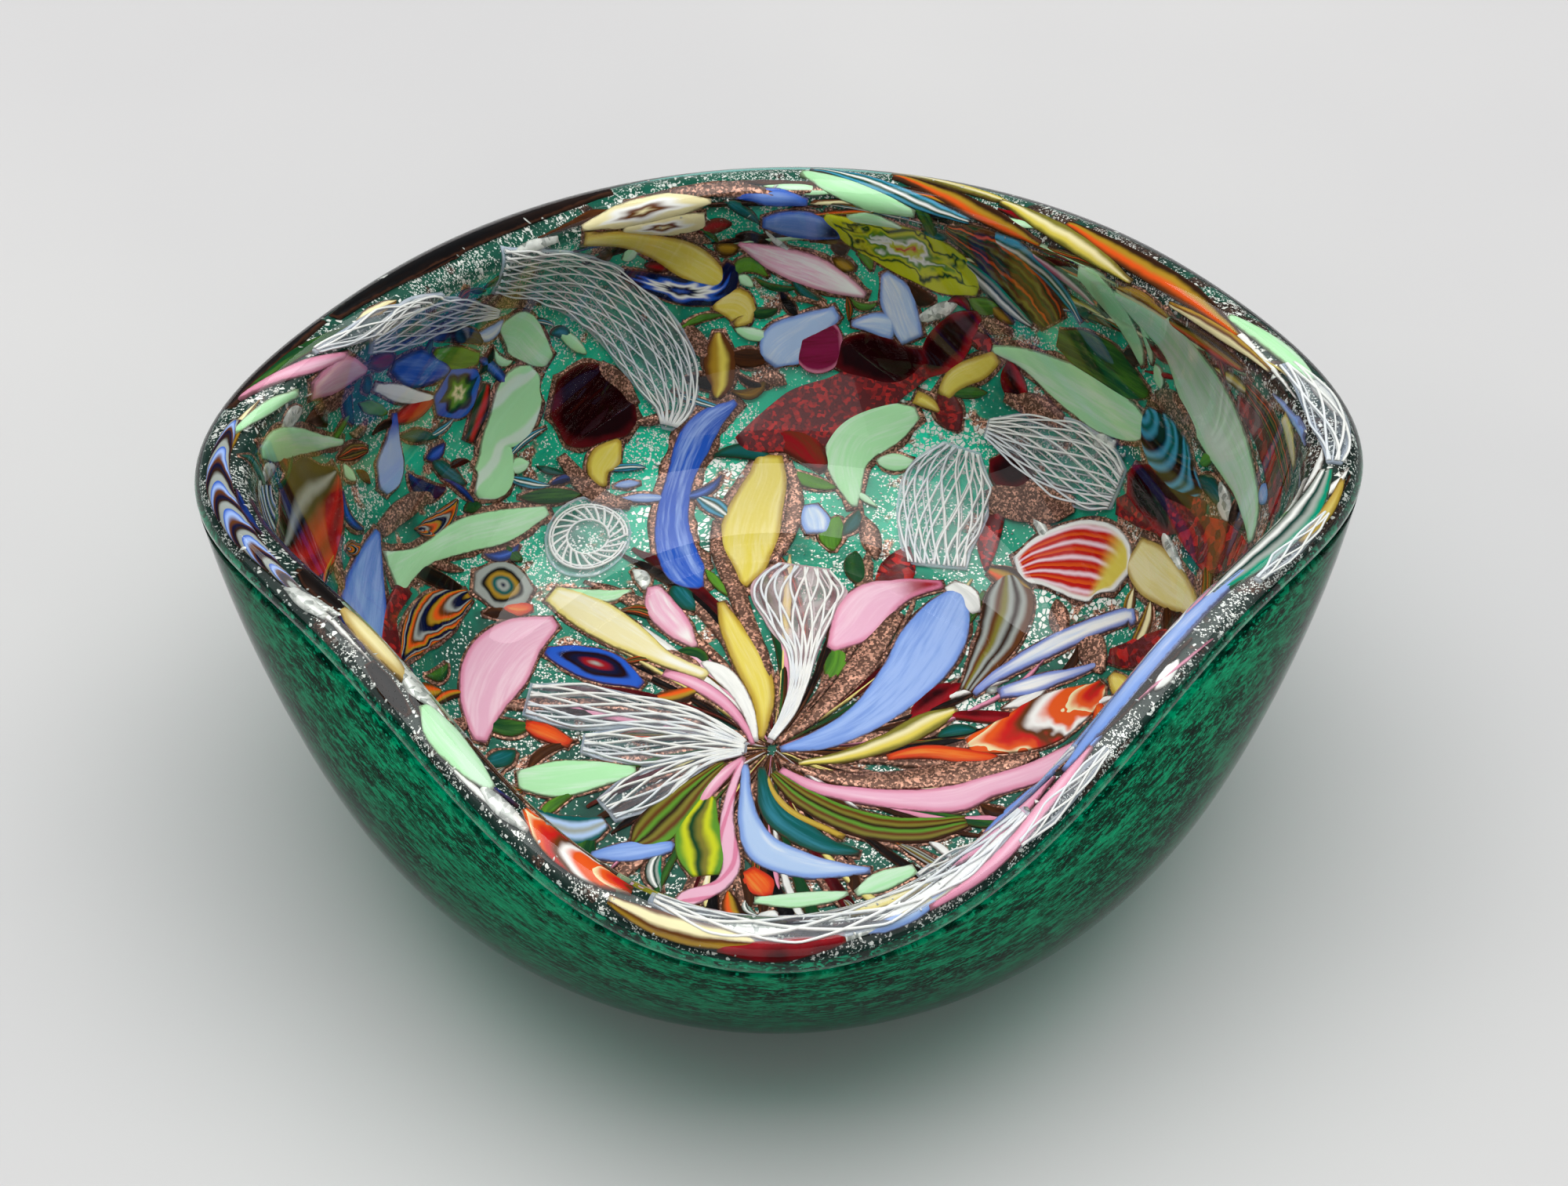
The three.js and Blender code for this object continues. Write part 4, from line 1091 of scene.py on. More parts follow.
# Slivers and crumbs that lie among the chips: look, copper border and centre line
SLIVERS = [
    ("navy", 0.3, [[-76, 60, 0.8], [-70, 63.5, 1.6], [-64, 65.5, 1.2], [-61, 65.5, 0.5]]),
    ("leaf_green", 0.3, [[-73, 57.5, 0.8], [-66, 60, 2], [-60, 62.5, 1]]),
    ("white", 0.4, [[-84, 43, 0.6], [-77, 46.5, 1.4], [-70, 49.5, 1], [-67, 51, 0.5]]),
    ("red_edge", 0.3, [[-54.5, 48, 1], [-54.8, 54, 1.6], [-55.5, 59, 0.8]]),
    ("red", 0.3, [[-74, 43, 0.8], [-70, 47, 1.6], [-67, 51, 0.8]]),
    ("ice_cobalt", 0.6, [[-69.5, 31, 1], [-70, 35, 3.2], [-72.5, 40, 1.5], [-75, 43.5, 0.6]]),
    ("red_brown", 0.4, [[-91, 43.5, 0.8], [-87, 47, 1.8], [-84, 49.5, 0.7]]),
    ("copper", 0, [[-96, 27, 0.8], [-92.5, 33, 1.6], [-90, 38, 0.5]]),
    ("copper", 0, [[-69, 72.5, 0.6], [-60, 75.5, 1.6], [-50, 78, 0.5]]),
    ("navy_stripes", 0.4, [[-98, -4, 2], [-97, 2, 3.5], [-95.5, 8, 1.5]]),
    ("copper", 0, [[-67, 25, 1.2], [-65, 29, 1.6], [-62, 33, 1.6], [-58.5, 36.5, 0.8]]),
    ("copper_red", 0, [[-59, 19, 1.5], [-61, 13, 1.2], [-60.5, 7, 2.2], [-59, 1, 1.5]]),
    ("black", 0.3, [[-57, 23, 1.2], [-52, 23, 1.2], [-48, 22.8, 0.6]]),
    ("orange", 0.2, [[-40, 22, 0.6], [-37.5, 21.8, 1.2], [-35, 22.4, 0.5]]),
    ("scallops", 0.4, [[-33, 88, 0.8], [-26, 87, 1.8], [-18, 86, 2.4], [-11, 87.5, 2.6], [-9, 92, 1.2]]),
    ("yellow", 0.5, [[-12.5, 83.5, 0.6], [-8, 84, 3], [-5.5, 82, 1.6], [-8, 80, 0.5]]),
    ("brown_yellow", 0.6, [[-11, 78.5, 0.8], [-10.5, 74, 2.6], [-10, 69, 2], [-10.5, 66, 0.5]]),
    ("cream_loops", 0.5, [[-36, 98.6, 0.6], [-29, 99.6, 1.5], [-22, 100.8, 2.2], [-16, 102, 1.6]]),
    ("mint", 0.4, [[16, 101.8, 0.8], [21, 101, 1.6], [26, 99.4, 0.8], [29, 98, 0.3]]),
    ("ice", 0.3, [[14.5, 79.5, 0.5], [19, 79, 1.8], [23, 77.5, 2.2]]),
    ("copper_red", 0, [[-6, 57, 1.6], [-1, 59.5, 3.6], [5, 62, 5.4], [12, 64.5, 5], [20, 68, 4.2],
     [28, 69, 1.6]]),
    ("ruby", 0, [[27, 68, 1.2], [31, 71, 3.6], [36, 74.5, 3.2], [41, 76, 1]]),
    ("copper_red", 0, [[56, 34, 1.2], [62, 31, 3.2], [68, 27, 3.6], [74, 22, 1.6]]),
    ("ruby", 0, [[66, 36, 1], [68, 31, 3], [71, 26, 2.4], [72, 22, 0.8]]),
    ("red_brown", 0.3, [[-1, 60, 1.2], [3, 59, 3.2], [6, 55, 2.2], [8, 52, 1]]),
    ("yellow", 0.5, [[24.5, 64, 1.2], [27, 62.2, 1], [28.5, 60.3, 0.3]]),
    ("copper", 0, [[-33, 69.5, 0.8], [-29, 66, 2.4], [-25, 62.5, 1.4]]),
    ("yellow", 0.6, [[-26.5, 56, 0.5], [-28, 52.5, 2.4], [-29, 49.5, 1.8], [-27.5, 46.5, 0.5]]),
    ("copper", 0, [[-36, 51, 0.8], [-31.5, 47, 1.4], [-27, 44.2, 1.4], [-22.5, 43.5, 0.8]]),
    ("copper", 0, [[2, 54, 0.6], [3, 48, 1], [2.6, 42, 1.2], [1.2, 36, 1], [-0.5, 31, 0.5]]),
    ("copper", 0, [[-9, 41, 0.5], [-8.2, 34, 1], [-6, 27, 1.2], [-4, 20, 1], [-1.8, 12, 0.9],
     [-1.5, 5, 0.5]]),
    ("ice", 0.3, [[5.2, 44.5, 1], [5.8, 41, 2], [6, 37.8, 1.4]]),
    ("copper", 0, [[41, 60, 0.8], [46, 56.5, 2], [50, 52.5, 1.4], [51, 50.5, 0.4]]),
    ("silver", 0, [[56, 46.6, 0.8], [58, 45, 1.2], [60, 43.4, 0.6]]),
    ("dark_green", 0.3, [[57, 66, 1.5], [62, 61, 3.8], [67, 54.5, 4.2], [71, 49, 2], [73, 46.5, 0.6]]),
    ("clear_streaks", 0.2, [[41, 88, 1], [45.5, 81, 1.8], [49, 75, 1.4], [52, 70.5, 0.5]]),
    ("turquoise_stripes", 0.3, [[52, 91, 1.2], [58, 85.5, 2.4], [63, 78, 2.2], [64.5, 71, 1.4],
     [64.5, 66, 0.5]]),
    ("teal_pink", 0.3, [[62.5, 84, 0.5], [67, 77.5, 1.6], [70.5, 71, 1.4], [72, 66.5, 0.5]]),
    ("cream_brown", 0.4, [[83, 64, 0.8], [88.4, 56.4, 1.5], [92.6, 48.6, 0.6]]),
    ("cream", 0.4, [[103, 14, 1.1], [101.5, 9, 1.4], [100, 5, 0.5]]),
    ("orange_brown", 0.3, [[92, 49, 0.6], [95.6, 42.2, 1.2], [98.6, 35, 1.4], [101, 28, 0.6]]),
    ("olive_streaks", 0.3, [[98.5, 26, 1.2], [98.5, 18, 2], [97, 10, 2], [96, 5, 1]]),
    ("red_frit", 0.2, [[94, 28, 1], [94.5, 20, 2.4], [93, 12, 2.6], [90, 6, 1.6]]),
    ("red_frit", 0.3, [[67, 25.5, 1], [71, 20, 2.8], [74.5, 15, 3.6], [78, 11, 2.6], [81, 8, 0.8]]),
    ("copper", 0, [[74, 45, 1], [77, 42, 2], [79, 38, 1.6], [79.5, 33, 0.8]]),
    ("copper", 0, [[33, 42, 2], [38, 41.5, 3.4], [44, 39, 3], [48, 37.5, 1.2]]),
    ("ruby_deep", 0.3, [[37, 50, 1.6], [38, 46.5, 3], [41, 43.5, 1.5]]),
    ("white_blue", 0.4, [[27, 6.5, 0.5], [32, 11, 1], [39, 14.5, 1.5], [46, 16, 1.4], [53.5, 15.5, 1.2],
     [54, 13.5, 0.3]]),
    ("white_blue", 0.4, [[30.5, 6.5, 0.7], [35, 7.8, 1.4], [40, 8.8, 1], [47, 9.3, 0.4]]),
    ("yellow", 0.3, [[49, 6.5, 0.6], [50.8, 3.5, 1.6], [52, 1, 0.5]]),
    ("red_frit", 0.3, [[49, 10, 1], [53.5, 8.5, 2.2], [59, 7.5, 2], [63, 6.5, 0.8]]),
    ("blue_soft", 0.5, [[28, -19, 0.5], [33, -15.5, 2], [38.5, -12, 2.4], [44, -10, 1]]),
    ("white", 0.4, [[-10.2, 12.3, 0.4], [-7.3, 9.8, 1.3], [-5, 6, 1], [-3.4, 1.5, 0.7],
     [-2.8, -2.5, 0.35]]),
    ("pink", 0.3, [[-15.5, 10.3, 0.6], [-11, 8, 1], [-7, 4.5, 0.8], [-4.2, 0, 0.5], [-3.2, -3, 0.3]]),
    ("copper", 0, [[0, -2.6, 0.4], [4, 1, 0.8], [8, 6, 1.1], [11.5, 11.5, 1.6], [14.5, 17, 1.4],
     [17, 21.5, 0.8]]),
    ("white", 0.3, [[24.5, 27, 1], [26.5, 24.5, 2], [28, 21.5, 0.6]]),
    ("orange_brown", 0.3, [[31, 29.6, 0.8], [33.6, 27.8, 1.8], [37, 25, 0.8]]),
    ("yellow_olive", 0.4, [[3, -6.4, 0.4], [9, -5.2, 0.9], [15, -2.6, 1.4], [20.5, 1, 1.6],
     [24.5, 3.5, 0.5]]),
    ("copper", 0, [[0, -5.6, 0.3], [2, -6.8, 0.4], [8, -8.8, 1], [16, -9.3, 1.4], [24, -8, 1.8],
     [32, -6, 1], [36, -4.8, 0.4]]),
    ("orange", 0.2, [[15, -5.3, 0.5], [20, -4.2, 1], [25, -4.8, 1.2], [30, -5.5, 0.6]]),
    ("yellow", 0.1, [[-1.4, -8.5, 0.3], [0, -12.5, 0.45], [3, -15.8, 0.5], [9, -19.3, 0.4]]),
    ("teal", 0.3, [[-2.2, -7, 0.4], [-0.8, -14, 1.4], [2.5, -18, 1.8], [7, -21, 1.2], [11, -22, 0.4]]),
    ("pink_twist", 0.4, [[-4.6, -5.4, 0.4], [-6.4, -13, 0.6], [-6.6, -19, 1], [-6, -24, 1.1],
     [-7.5, -27.5, 0.9], [-11.5, -29.8, 1.3], [-13.5, -31, 0.5]]),
    ("pink", 0.2, [[-4.4, -5.2, 0.3], [-8.2, -9.5, 0.9], [-10.4, -14, 0.4]]),
    ("lime_streaks", 0.3, [[-9, -12, 0.8], [-10.5, -17, 2.6], [-10, -22, 3], [-9.5, -26, 1.6]]),
    ("white", 0.2, [[-10.5, -6.5, 0.3], [-13, -10, 0.6], [-15, -13.5, 0.4]]),
    ("lattice", 0.4, [[-26.5, -2.5, 1.4], [-22, -3, 2.6], [-16, -3.4, 2.8], [-10, -3.4, 1.6],
     [-4, -4, 0.5]]),
    ("lattice", 0.4, [[-23, -14.5, 2], [-19, -11.8, 3], [-14.5, -8.6, 2.2], [-9.5, -5.8, 1],
     [-4.5, -4.4, 0.4]]),
    ("ruby_blue", 0.4, [[-32, 14.5, 0.6], [-27.5, 13, 2.2], [-23, 11, 2.4], [-18.5, 8, 0.6]]),
    ("orange", 0.3, [[-34.5, 1, 0.6], [-31.5, -0.5, 1.3], [-28, -2.6, 0.6]]),
    ("ice_teal", 0.3, [[-34.5, -15, 0.8], [-30, -17.5, 2], [-26, -18, 2.2], [-23, -16.5, 1]]),
    ("blue_soft", 0.4, [[-25, -22.5, 0.5], [-20, -21.8, 1.5], [-15, -21, 1], [-13.8, -20.2, 0.3]]),
    ("blue_soft", 0.3, [[-24, -26.3, 0.5], [-20.5, -28, 1.3], [-16, -30, 0.6]]),
    ("orange", 0.3, [[-4, -25, 1], [-2.2, -27.5, 1.8], [-1, -29.5, 0.5]]),
    ("mint", 0.4, [[-3, -30.2, 0.5], [2, -30.3, 1.2], [7, -29.6, 0.9], [9.5, -29, 0.3]]),
    ("mint", 0.4, [[10.5, -29, 0.4], [14, -27, 1.5], [18.5, -24.8, 0.8]]),
    ("lattice", 0.3, [[19, -26.5, 0.8], [23, -24, 1.6], [28, -20.5, 0.6]]),
    ("blue_soft", 0.4, [[9, -33, 0.4], [16, -31, 1.3], [22, -28.5, 1.5], [26, -26.5, 0.5]]),
]

# Chips that the lip shows edge on: look, and [heading in degrees, way over the lip 0..1,
# half width in millimetres]
LIP_CHIPS = [
    ("candy", [[174, 0.5, 0.6], [182, 0.55, 1.5], [191, 0.6, 1.5], [201, 0.65, 0.5]]),
    ("black", [[198, 0.3, 0.8], [201, 0.35, 1.5], [206, 0.4, 0.6]]),
    ("silver", [[200, 0.7, 0.6], [203, 0.7, 1], [206, 0.65, 0.4]]),
    ("cream_soft", [[205, 0.35, 0.5], [209, 0.35, 1.6], [214, 0.35, 1.5], [218, 0.4, 0.4]]),
    ("silver", [[216, 0.3, 0.5], [220, 0.35, 1.3], [223, 0.3, 0.5]]),
    ("black", [[214, 0.65, 0.6], [218, 0.7, 1.2], [222, 0.7, 0.5]]),
    ("mint", [[222, 0.45, 0.7], [226, 0.5, 2.2], [231, 0.5, 1.8], [235, 0.5, 0.5]]),
    ("silver", [[234, 0.6, 0.4], [237, 0.6, 1.1], [241, 0.55, 0.4]]),
    ("orange_white", [[239, 0.35, 0.6], [243, 0.4, 2], [248, 0.4, 2], [254, 0.35, 0.5]]),
    ("cream_brown", [[252, 0.65, 0.6], [258, 0.65, 1.6], [264, 0.6, 1.4], [268, 0.6, 0.4]]),
    ("ruby", [[264, 0.75, 0.5], [270, 0.72, 1.5], [277, 0.65, 0.6]]),
    ("lattice", [[256, 0.28, 1], [264, 0.3, 2.6], [276, 0.3, 3], [290, 0.35, 2.6], [300, 0.4, 0.8]]),
    ("pink", [[286, 0.7, 0.4], [294, 0.68, 0.9], [303, 0.55, 0.9], [310, 0.5, 0.3]]),
    ("lattice", [[297, 0.72, 0.5], [303, 0.7, 1.4], [311, 0.7, 0.5]]),
    ("sky", [[306, 0.4, 0.4], [316, 0.35, 1.3], [328, 0.35, 1.4], [340, 0.45, 0.4]]),
    ("clear_streaks", [[333, 0.35, 0.6], [340, 0.4, 2], [348, 0.4, 2.2], [356, 0.4, 0.8]]),
    ("yellow", [[345, 0.72, 0.4], [350, 0.7, 0.8], [355, 0.66, 0.3]]),
    ("lattice", [[338, 0.7, 0.5], [344, 0.7, 1.2], [350, 0.7, 0.4]]),
    ("lattice", [[357, 0.5, 1], [364, 0.5, 2.6], [372, 0.5, 1]]),
    ("mint", [[369, 0.6, 0.5], [374, 0.6, 1.4], [381, 0.5, 0.5]]),
    ("orange_brown", [[378, 0.35, 0.5], [388, 0.45, 1.6], [400, 0.5, 1.4], [410, 0.6, 0.5]]),
    ("cream_brown", [[372, 0.2, 0.4], [380, 0.2, 1.2], [388, 0.15, 0.4]]),
    ("yellow_olive", [[395, 0.15, 0.4], [403, 0.3, 1.4], [413, 0.45, 1.2], [421, 0.6, 0.4]]),
    ("orange_brown", [[412, 0.1, 0.5], [420, 0.25, 1.4], [430, 0.5, 1], [436, 0.7, 0.4]]),
    ("turquoise_stripes", [[424, 0.1, 0.5], [431, 0.2, 1.2], [440, 0.5, 1], [446, 0.7, 0.4]]),
    ("mint", [[432, 0, 0.6], [438, 0.15, 2], [443, 0.35, 1.6], [447, 0.6, 0.5]]),
    ("copper", [[449, 0.1, 0.5], [456, 0.3, 1.4], [463, 0.4, 0.5]]),
    ("blue_purple", [[446, 0, 0.5], [450, 0.1, 1.5], [455, 0.15, 0.5]]),
    ("cream_loops", [[458, 0.1, 0.5], [463, 0.15, 1.9], [470, 0.15, 1.9], [476, 0.15, 0.5]]),
    ("black", [[470, 0.7, 0.6], [480, 0.7, 1.4], [492, 0.7, 1.5], [505, 0.7, 1.4], [516, 0.7, 0.8]]),
    ("silver", [[480, 0.1, 0.5], [484, 0.15, 1], [488, 0.15, 0.4]]),
    ("lattice", [[506, 0.05, 0.6], [511, 0.15, 2], [517, 0.25, 1.6], [522, 0.4, 0.4]]),
    ("pink", [[519, 0, 0.5], [523, 0.2, 1.3], [528, 0.5, 0.8], [531, 0.7, 0.3]]),
    ("black", [[517, 0.8, 0.5], [524, 0.8, 1.2], [532, 0.8, 1]]),
    ("mint", [[527, 0, 0.5], [531, 0.2, 1.1], [536, 0.45, 0.4]]),
]

# The material that each look is made of
LOOKS = {}
# Streaked glasses: body, streak, how much of it, and perhaps a rim and ends
STREAKED = {
    "mint": ("mint", "mint_pale", 0.7),
    "mint_soft": ("mint_pale", "mint", 0.7, "mint"),
    "pink": ("pink", "pink_pale", 0.7, "rose"),
    "pink_white": ("pink", "white", 0.9, "rose", "white"),
    "blue_soft": ("blue_pale", "blue", 0.8, "blue"),
    "blue_grey": ("blue", "blue_pale", 0.7, "cobalt"),
    "blue_purple": ("blue", "blue_pale", 0.5, "cobalt", "navy"),
    "sky": ("blue_pale", "white", 0.6, "blue"),
    "cobalt": ("cobalt", "blue", 0.6, "navy"),
    "cobalt_ribbon": ("cobalt", "blue_pale", 0.8, "cobalt"),
    "ice": ("ice", "white", 0.6, "blue"),
    "ice_cobalt": ("blue_pale", "ice", 0.6, None, "cobalt"),
    "yellow": ("yellow", "cream", 0.45, "ochre"),
    "cream": ("cream", "white", 0.5, "yellow", "white"),
    "cream_soft": ("cream", "yellow", 0.5, "ochre"),
    "white": ("white", "grey", 0.3),
    "white_blue": ("white", "ice", 0.6, "cobalt"),
    "black": ("black", "brown_dark", 0.4),
    "navy": ("navy", "cobalt", 0.4),
    "orange": ("orange", "yellow", 0.4, "red"),
    "red": ("red", "orange", 0.4, "ruby"),
    "teal": ("teal", "turquoise", 0.4, "green_dark"),
    "dark_green": ("green_dark", "leaf", 0.5),
    "leaf_green": ("leaf", "green_dark", 0.6),
    "red_brown": ("ruby", "brown", 0.8, "brown_dark"),
    "brown": ("brown_dark", "brown", 0.8),
    "amber": ("ochre", "brown", 0.7, "brown_dark"),
}
# Striped canes: colours across, and perhaps how far the stripes wander and repeat
STRIPED = {
    "ice_teal": ("teal ice grey ice teal",),
    "ruby_striped": ("red ruby red ruby ruby_dark grey ruby_dark brown_dark", 0.05),
    "red_edge": ("black red green_dark",),
    "brown_yellow": ("brown ochre yellow brown",),
    "lime_streaks": ("leaf lime green_dark olive lime leaf", 0.16),
    "shell": ("orange red pink_pale red", 0.04, 5, "white", "yellow"),
    "olive_streaks": ("green_dark brown_dark olive brown green_dark orange brown_dark brown",
                      0.16, 2),
    "grey_stripes": ("brown_dark grey brown olive grey brown_dark grey brown", 0.05),
    "green_stripes": ("brown_dark olive brown leaf brown_dark olive brown leaf", 0.06),
    "turquoise_stripes": ("teal turquoise green_dark white teal turquoise", 0.1),
    "teal_pink": ("teal rose pink_pale green_dark",),
    "cream_brown": ("brown cream cream brown ochre",),
    "orange_brown": ("brown orange ochre brown_dark",),
    "yellow_olive": ("olive yellow cream olive",),
    "clear_streaks": ("emerald_dark grey white emerald_dark grey emerald", 0.1),
}
# Banded canes: colours along, how many times, how far they bow and perhaps wander
BANDED = {
    "navy_stripes": ("navy blue white navy", 5.0, 0.4),
    "flame": ("black ochre orange brown grey navy", 2.2, 2.6, 0.16),
    "orange_white": ("cream orange red brown white orange", 1.5, 0.9, 0.3),
    "turquoise_bands": ("navy turquoise teal turquoise black", 3.0, -0.8),
    "candy": ("cobalt blue_pale brown navy brown_dark grey", 6.0, 0.5),
}
# Ringed slices: colours from the core out, and perhaps petals and how far they wander
RINGED = {
    "ruby_blue": ("grey ruby navy ruby_dark cobalt",),
    "scallops": ("cobalt navy white cobalt navy", 9),
    "cream_loops": ("cream brown white cream", 5),
    "star": ("leaf cream leaf green_dark navy cobalt", 6, 0.14),
    "eye": ("navy grey teal ochre black grey",),
    "lime_flowers": ("red lime white leaf lime green_dark lime", 7, 0.35),
}


def build_looks():
    """Every glass the chips are made of."""
    for make, recipes in ((solid_chip, STREAKED), (striped_chip, STRIPED),
                          (banded_chip, BANDED), (ringed_chip, RINGED)):
        for look, recipe in recipes.items():
            LOOKS[look] = make(look + "_glass", *recipe)
    LOOKS.update({
        "pink_red_end": solid_chip("pink_red_glass", "pink", "pink_pale", 0.6, "rose", "ruby"),
        "ruby_disc": solid_chip("magenta_glass", "magenta", "garnet", 0.6, "rose"),
        "mint_twist": twisted_chip("mint_twist_glass", "mint", "mint_pale", 1.5),
        "pink_twist": twisted_chip("pink_twist_glass", "pink", "rose", 3),
        "ruby": ruby_chip("ruby_glass", "ruby_dark", "ruby"),
        "ruby_deep": ruby_chip("ruby_deep_glass", "ruby_dark", "garnet"),
        "red_frit": glitter_metal("red_frit_glass", "garnet", "red", 0.8, 0.6, 0.1, 0.2),
        "copper": glitter_metal("copper_aventurine", "copper_dark", "copper", 3.4, 0.52),
        "copper_red": glitter_metal("copper_red_aventurine", "garnet", "red", 1.5, 0.5, 0.15),
        "silver": glitter_metal("silver_leaf", "grey", "silver", 1.2, 0.9, 0.3, 0.25),
        "lattice": lattice_film("lattice_film", "ice", 0.14),
        "lattice_pink": lattice_film("lattice_pink_film", "rose", 0.4),
        "lattice_thread": solid_chip("lattice_thread_glass", "white", "ice", 0.3, line=0.02),
    })
    LOOKS["lattice_ring"] = LOOKS["lattice"]


def round_points(x, y, radius):
    """The centre line of a round slice."""
    return [[x + s * radius, y, radius * math.sqrt(1 - s * s)]
            for s in (-0.985, -0.85, -0.6, -0.25, 0.25, 0.6, 0.85, 0.985)]


def lattice_threads(strip, place=plan_point):
    """The white threads of a lattice cane: a bold family and a finer one behind it."""
    widest = strip.half.max()
    turns = strip.travel[-1] / (widest * THREAD_WINDING) + 0.12
    slimness = min(1.0, 0.55 + widest / 9)
    made = []
    for way, density, fewest, most, width, depth in THREAD_FAMILIES:
        count = int(np.clip(round(widest * density), fewest, most))
        for k in range(count):
            start = 2 * (k + 0.3) / count
            made.append(thread(strip, lambda u: 0.95 * fold(start + way * turns * u),
                               width * slimness, depth, place=place))
    return made


def fold(value):
    """A triangle wave between -1 and 1, softened where a thread turns back."""
    wave = 1 - 2 * np.abs((value % 2) - 1)
    softness = 0.35
    return np.sin(wave * np.pi / 2) * softness + wave * (1 - softness)


def ring_threads(x, y, radius):
    """The spokes and hoops of a round lace slice."""
    made = []
    step, half = 0.6, 0.3
    inner, outer = radius * LACE_HOOPS[-1], radius * LACE_HOOPS[0]
    for k in range(LACE_SPOKES):
        start = 2 * np.pi * k / LACE_SPOKES
        points = [[x + reach * math.cos(start + lean), y + reach * math.sin(start + lean), half]
                  for reach, lean in ((inner, 0), ((inner + outer) / 2, 0.28), (outer, 0.45))]
        made.append(thread(Strip(points, step), lambda u: u * 0, 0.24, THREAD_DEPTH, 12))
    for share in LACE_HOOPS:
        points = [[x + radius * share * math.cos(t), y + radius * share * math.sin(t), half]
                  for t in np.linspace(0, 2 * np.pi, 25)]
        made.append(thread(Strip(points, step), lambda u: u * 0, 0.22, THREAD_DEPTH, 60))
    return made


def make_chip(name, look, points, seed, place=plan_point, top=CHIP_TOP):
    """One chip, with its threads if it is a lattice cane."""
    rng = np.random.default_rng(seed)
    strip = Strip(points, ragged=CHIP_RAGGED, rng=rng, spread=CHIP_SPREAD)
    dome = max(top - CHIP_EDGE, LEAST_DOME)
    body = patch(strip, across_cells(strip), top, CHIP_UNDERSIDE, dome, place,
                 seed * CHIP_PATTERN)
    patches, slots = [body], [0]
    materials = [LOOKS[look]]
    if look.startswith("lattice"):
        materials.append(LOOKS["lattice_thread"])
        if look == "lattice_ring":
            x, y = np.mean([p[:2] for p in points], axis=0)
            threads = ring_threads(x, y, max(p[2] for p in points))
        else:
            threads = lattice_threads(strip, place)
        patches += threads
        slots += [1] * len(threads)
    return join_patches(name, patches, materials, slots)


# Long streaks drawn along the rim: first and last heading in degrees, nearest and farthest
# reach, how many, and their looks
RIM_STREAKS = (
    (12, 100, 93, 113, 46, "mint olive_streaks orange_brown cream_brown brown yellow_olive "
     "ruby turquoise_stripes mint_soft black amber copper"),
    (-88, 10, 103, 114, 34, "white ice silver sky black white pink cream"),
    (100, 178, 98, 113, 20, "black dark_green silver cream_brown cobalt brown"),
    (182, 272, 102, 114, 26, "black silver dark_green navy white silver"),
)
# Fine arms drawn in to the centre of the swirl, and where that centre lies
ARM_LOOKS = ("copper copper brown black olive_streaks pink white brown dark_green copper "
             "cream ruby_deep black copper").split()
SWIRL = (-0.5, -3.5)
SWIRL_ARMS = 104
# Lengths and half widths of the crumbs, how far out they lie, and how they lean from the
# way to the centre, low in the bowl and higher up: mean and spread
CRUMB_LENGTH = (3.5, 11)
CRUMB_HALF = (0.6, 1.9)
CRUMB_REACH = 104
LOW_REACH = 45
LOW_LEAN = (0.3, 0.3)
HIGH_LEAN = (1.1, 0.55)
# What fills the gaps: middle and spread of each part of the collage, and its looks
FILLINGS = (
    ((42, 38), 42, "ruby ruby_deep red_frit copper copper_red ruby silver brown".split()),
    ((-48, 50), 44, "cobalt mint dark_green ice navy turquoise_stripes teal black".split()),
    ((-60, 5), 30, "cobalt brown orange_brown flame dark_green copper".split()),
    ((0, -45), 55, ("olive_streaks orange_brown brown grey_stripes black dark_green "
                    "clear_streaks white").split()),
    ((64, -10), 34, "orange brown cream_brown black white copper sky".split()),
)
ANYWHERE = ("black dark_green copper olive_streaks silver leaf_green brown red_brown teal amber "
            "mint").split()


def leaf_line(x, y, angle, length, half, bend):
    """A short pointed centre line that bends to one side."""
    line = []
    for t, width in ((-0.5, 0.15), (-0.25, 0.8), (0.05, 1.0), (0.3, 0.7), (0.5, 0.1)):
        side = bend * (1 - 4 * t * t)
        line.append([x + length * t * math.cos(angle) - side * math.sin(angle),
                     y + length * t * math.sin(angle) + side * math.cos(angle), half * width])
    return line


def filling_lines(rng, lines, tries):
    """Crumbs for the gaps that the given centre lines leave: look and line of each."""
    taken = np.concatenate([smooth_line(line, 2.0) for line in lines])
    made = []
    for _ in range(tries):
        heading = rng.uniform(-np.pi, np.pi)
        reach = CRUMB_REACH * math.sqrt(rng.uniform(0.01, 1))
        x, y = reach * math.cos(heading), reach * math.sin(heading)
        length, half = rng.uniform(*CRUMB_LENGTH), rng.uniform(*CRUMB_HALF)
        gap = (np.hypot(taken[:, 0] - x, taken[:, 1] - y) - taken[:, 2] * 1.1).min()
        looks = ANYWHERE
        for (mid_x, mid_y), spread, names in FILLINGS:
            if math.hypot(x - mid_x, y - mid_y) < spread * rng.uniform(0.5, 1.1):
                looks = names
        look = looks[rng.integers(len(looks))]
        lean = rng.normal(*(LOW_LEAN if reach < LOW_REACH else HIGH_LEAN))
        bend = rng.normal(0, 0.12) * length
        if looks is FILLINGS[0][2]:  # the ruby part has longer, wider crumbs
            length, half = length * 1.25, half * 1.5
        if gap > half * 0.5:
            line = leaf_line(x, y, heading + lean, length, half, bend)
            taken = np.concatenate([taken, smooth_line(line, 2.0)])
            made.append((look, line))
    return made


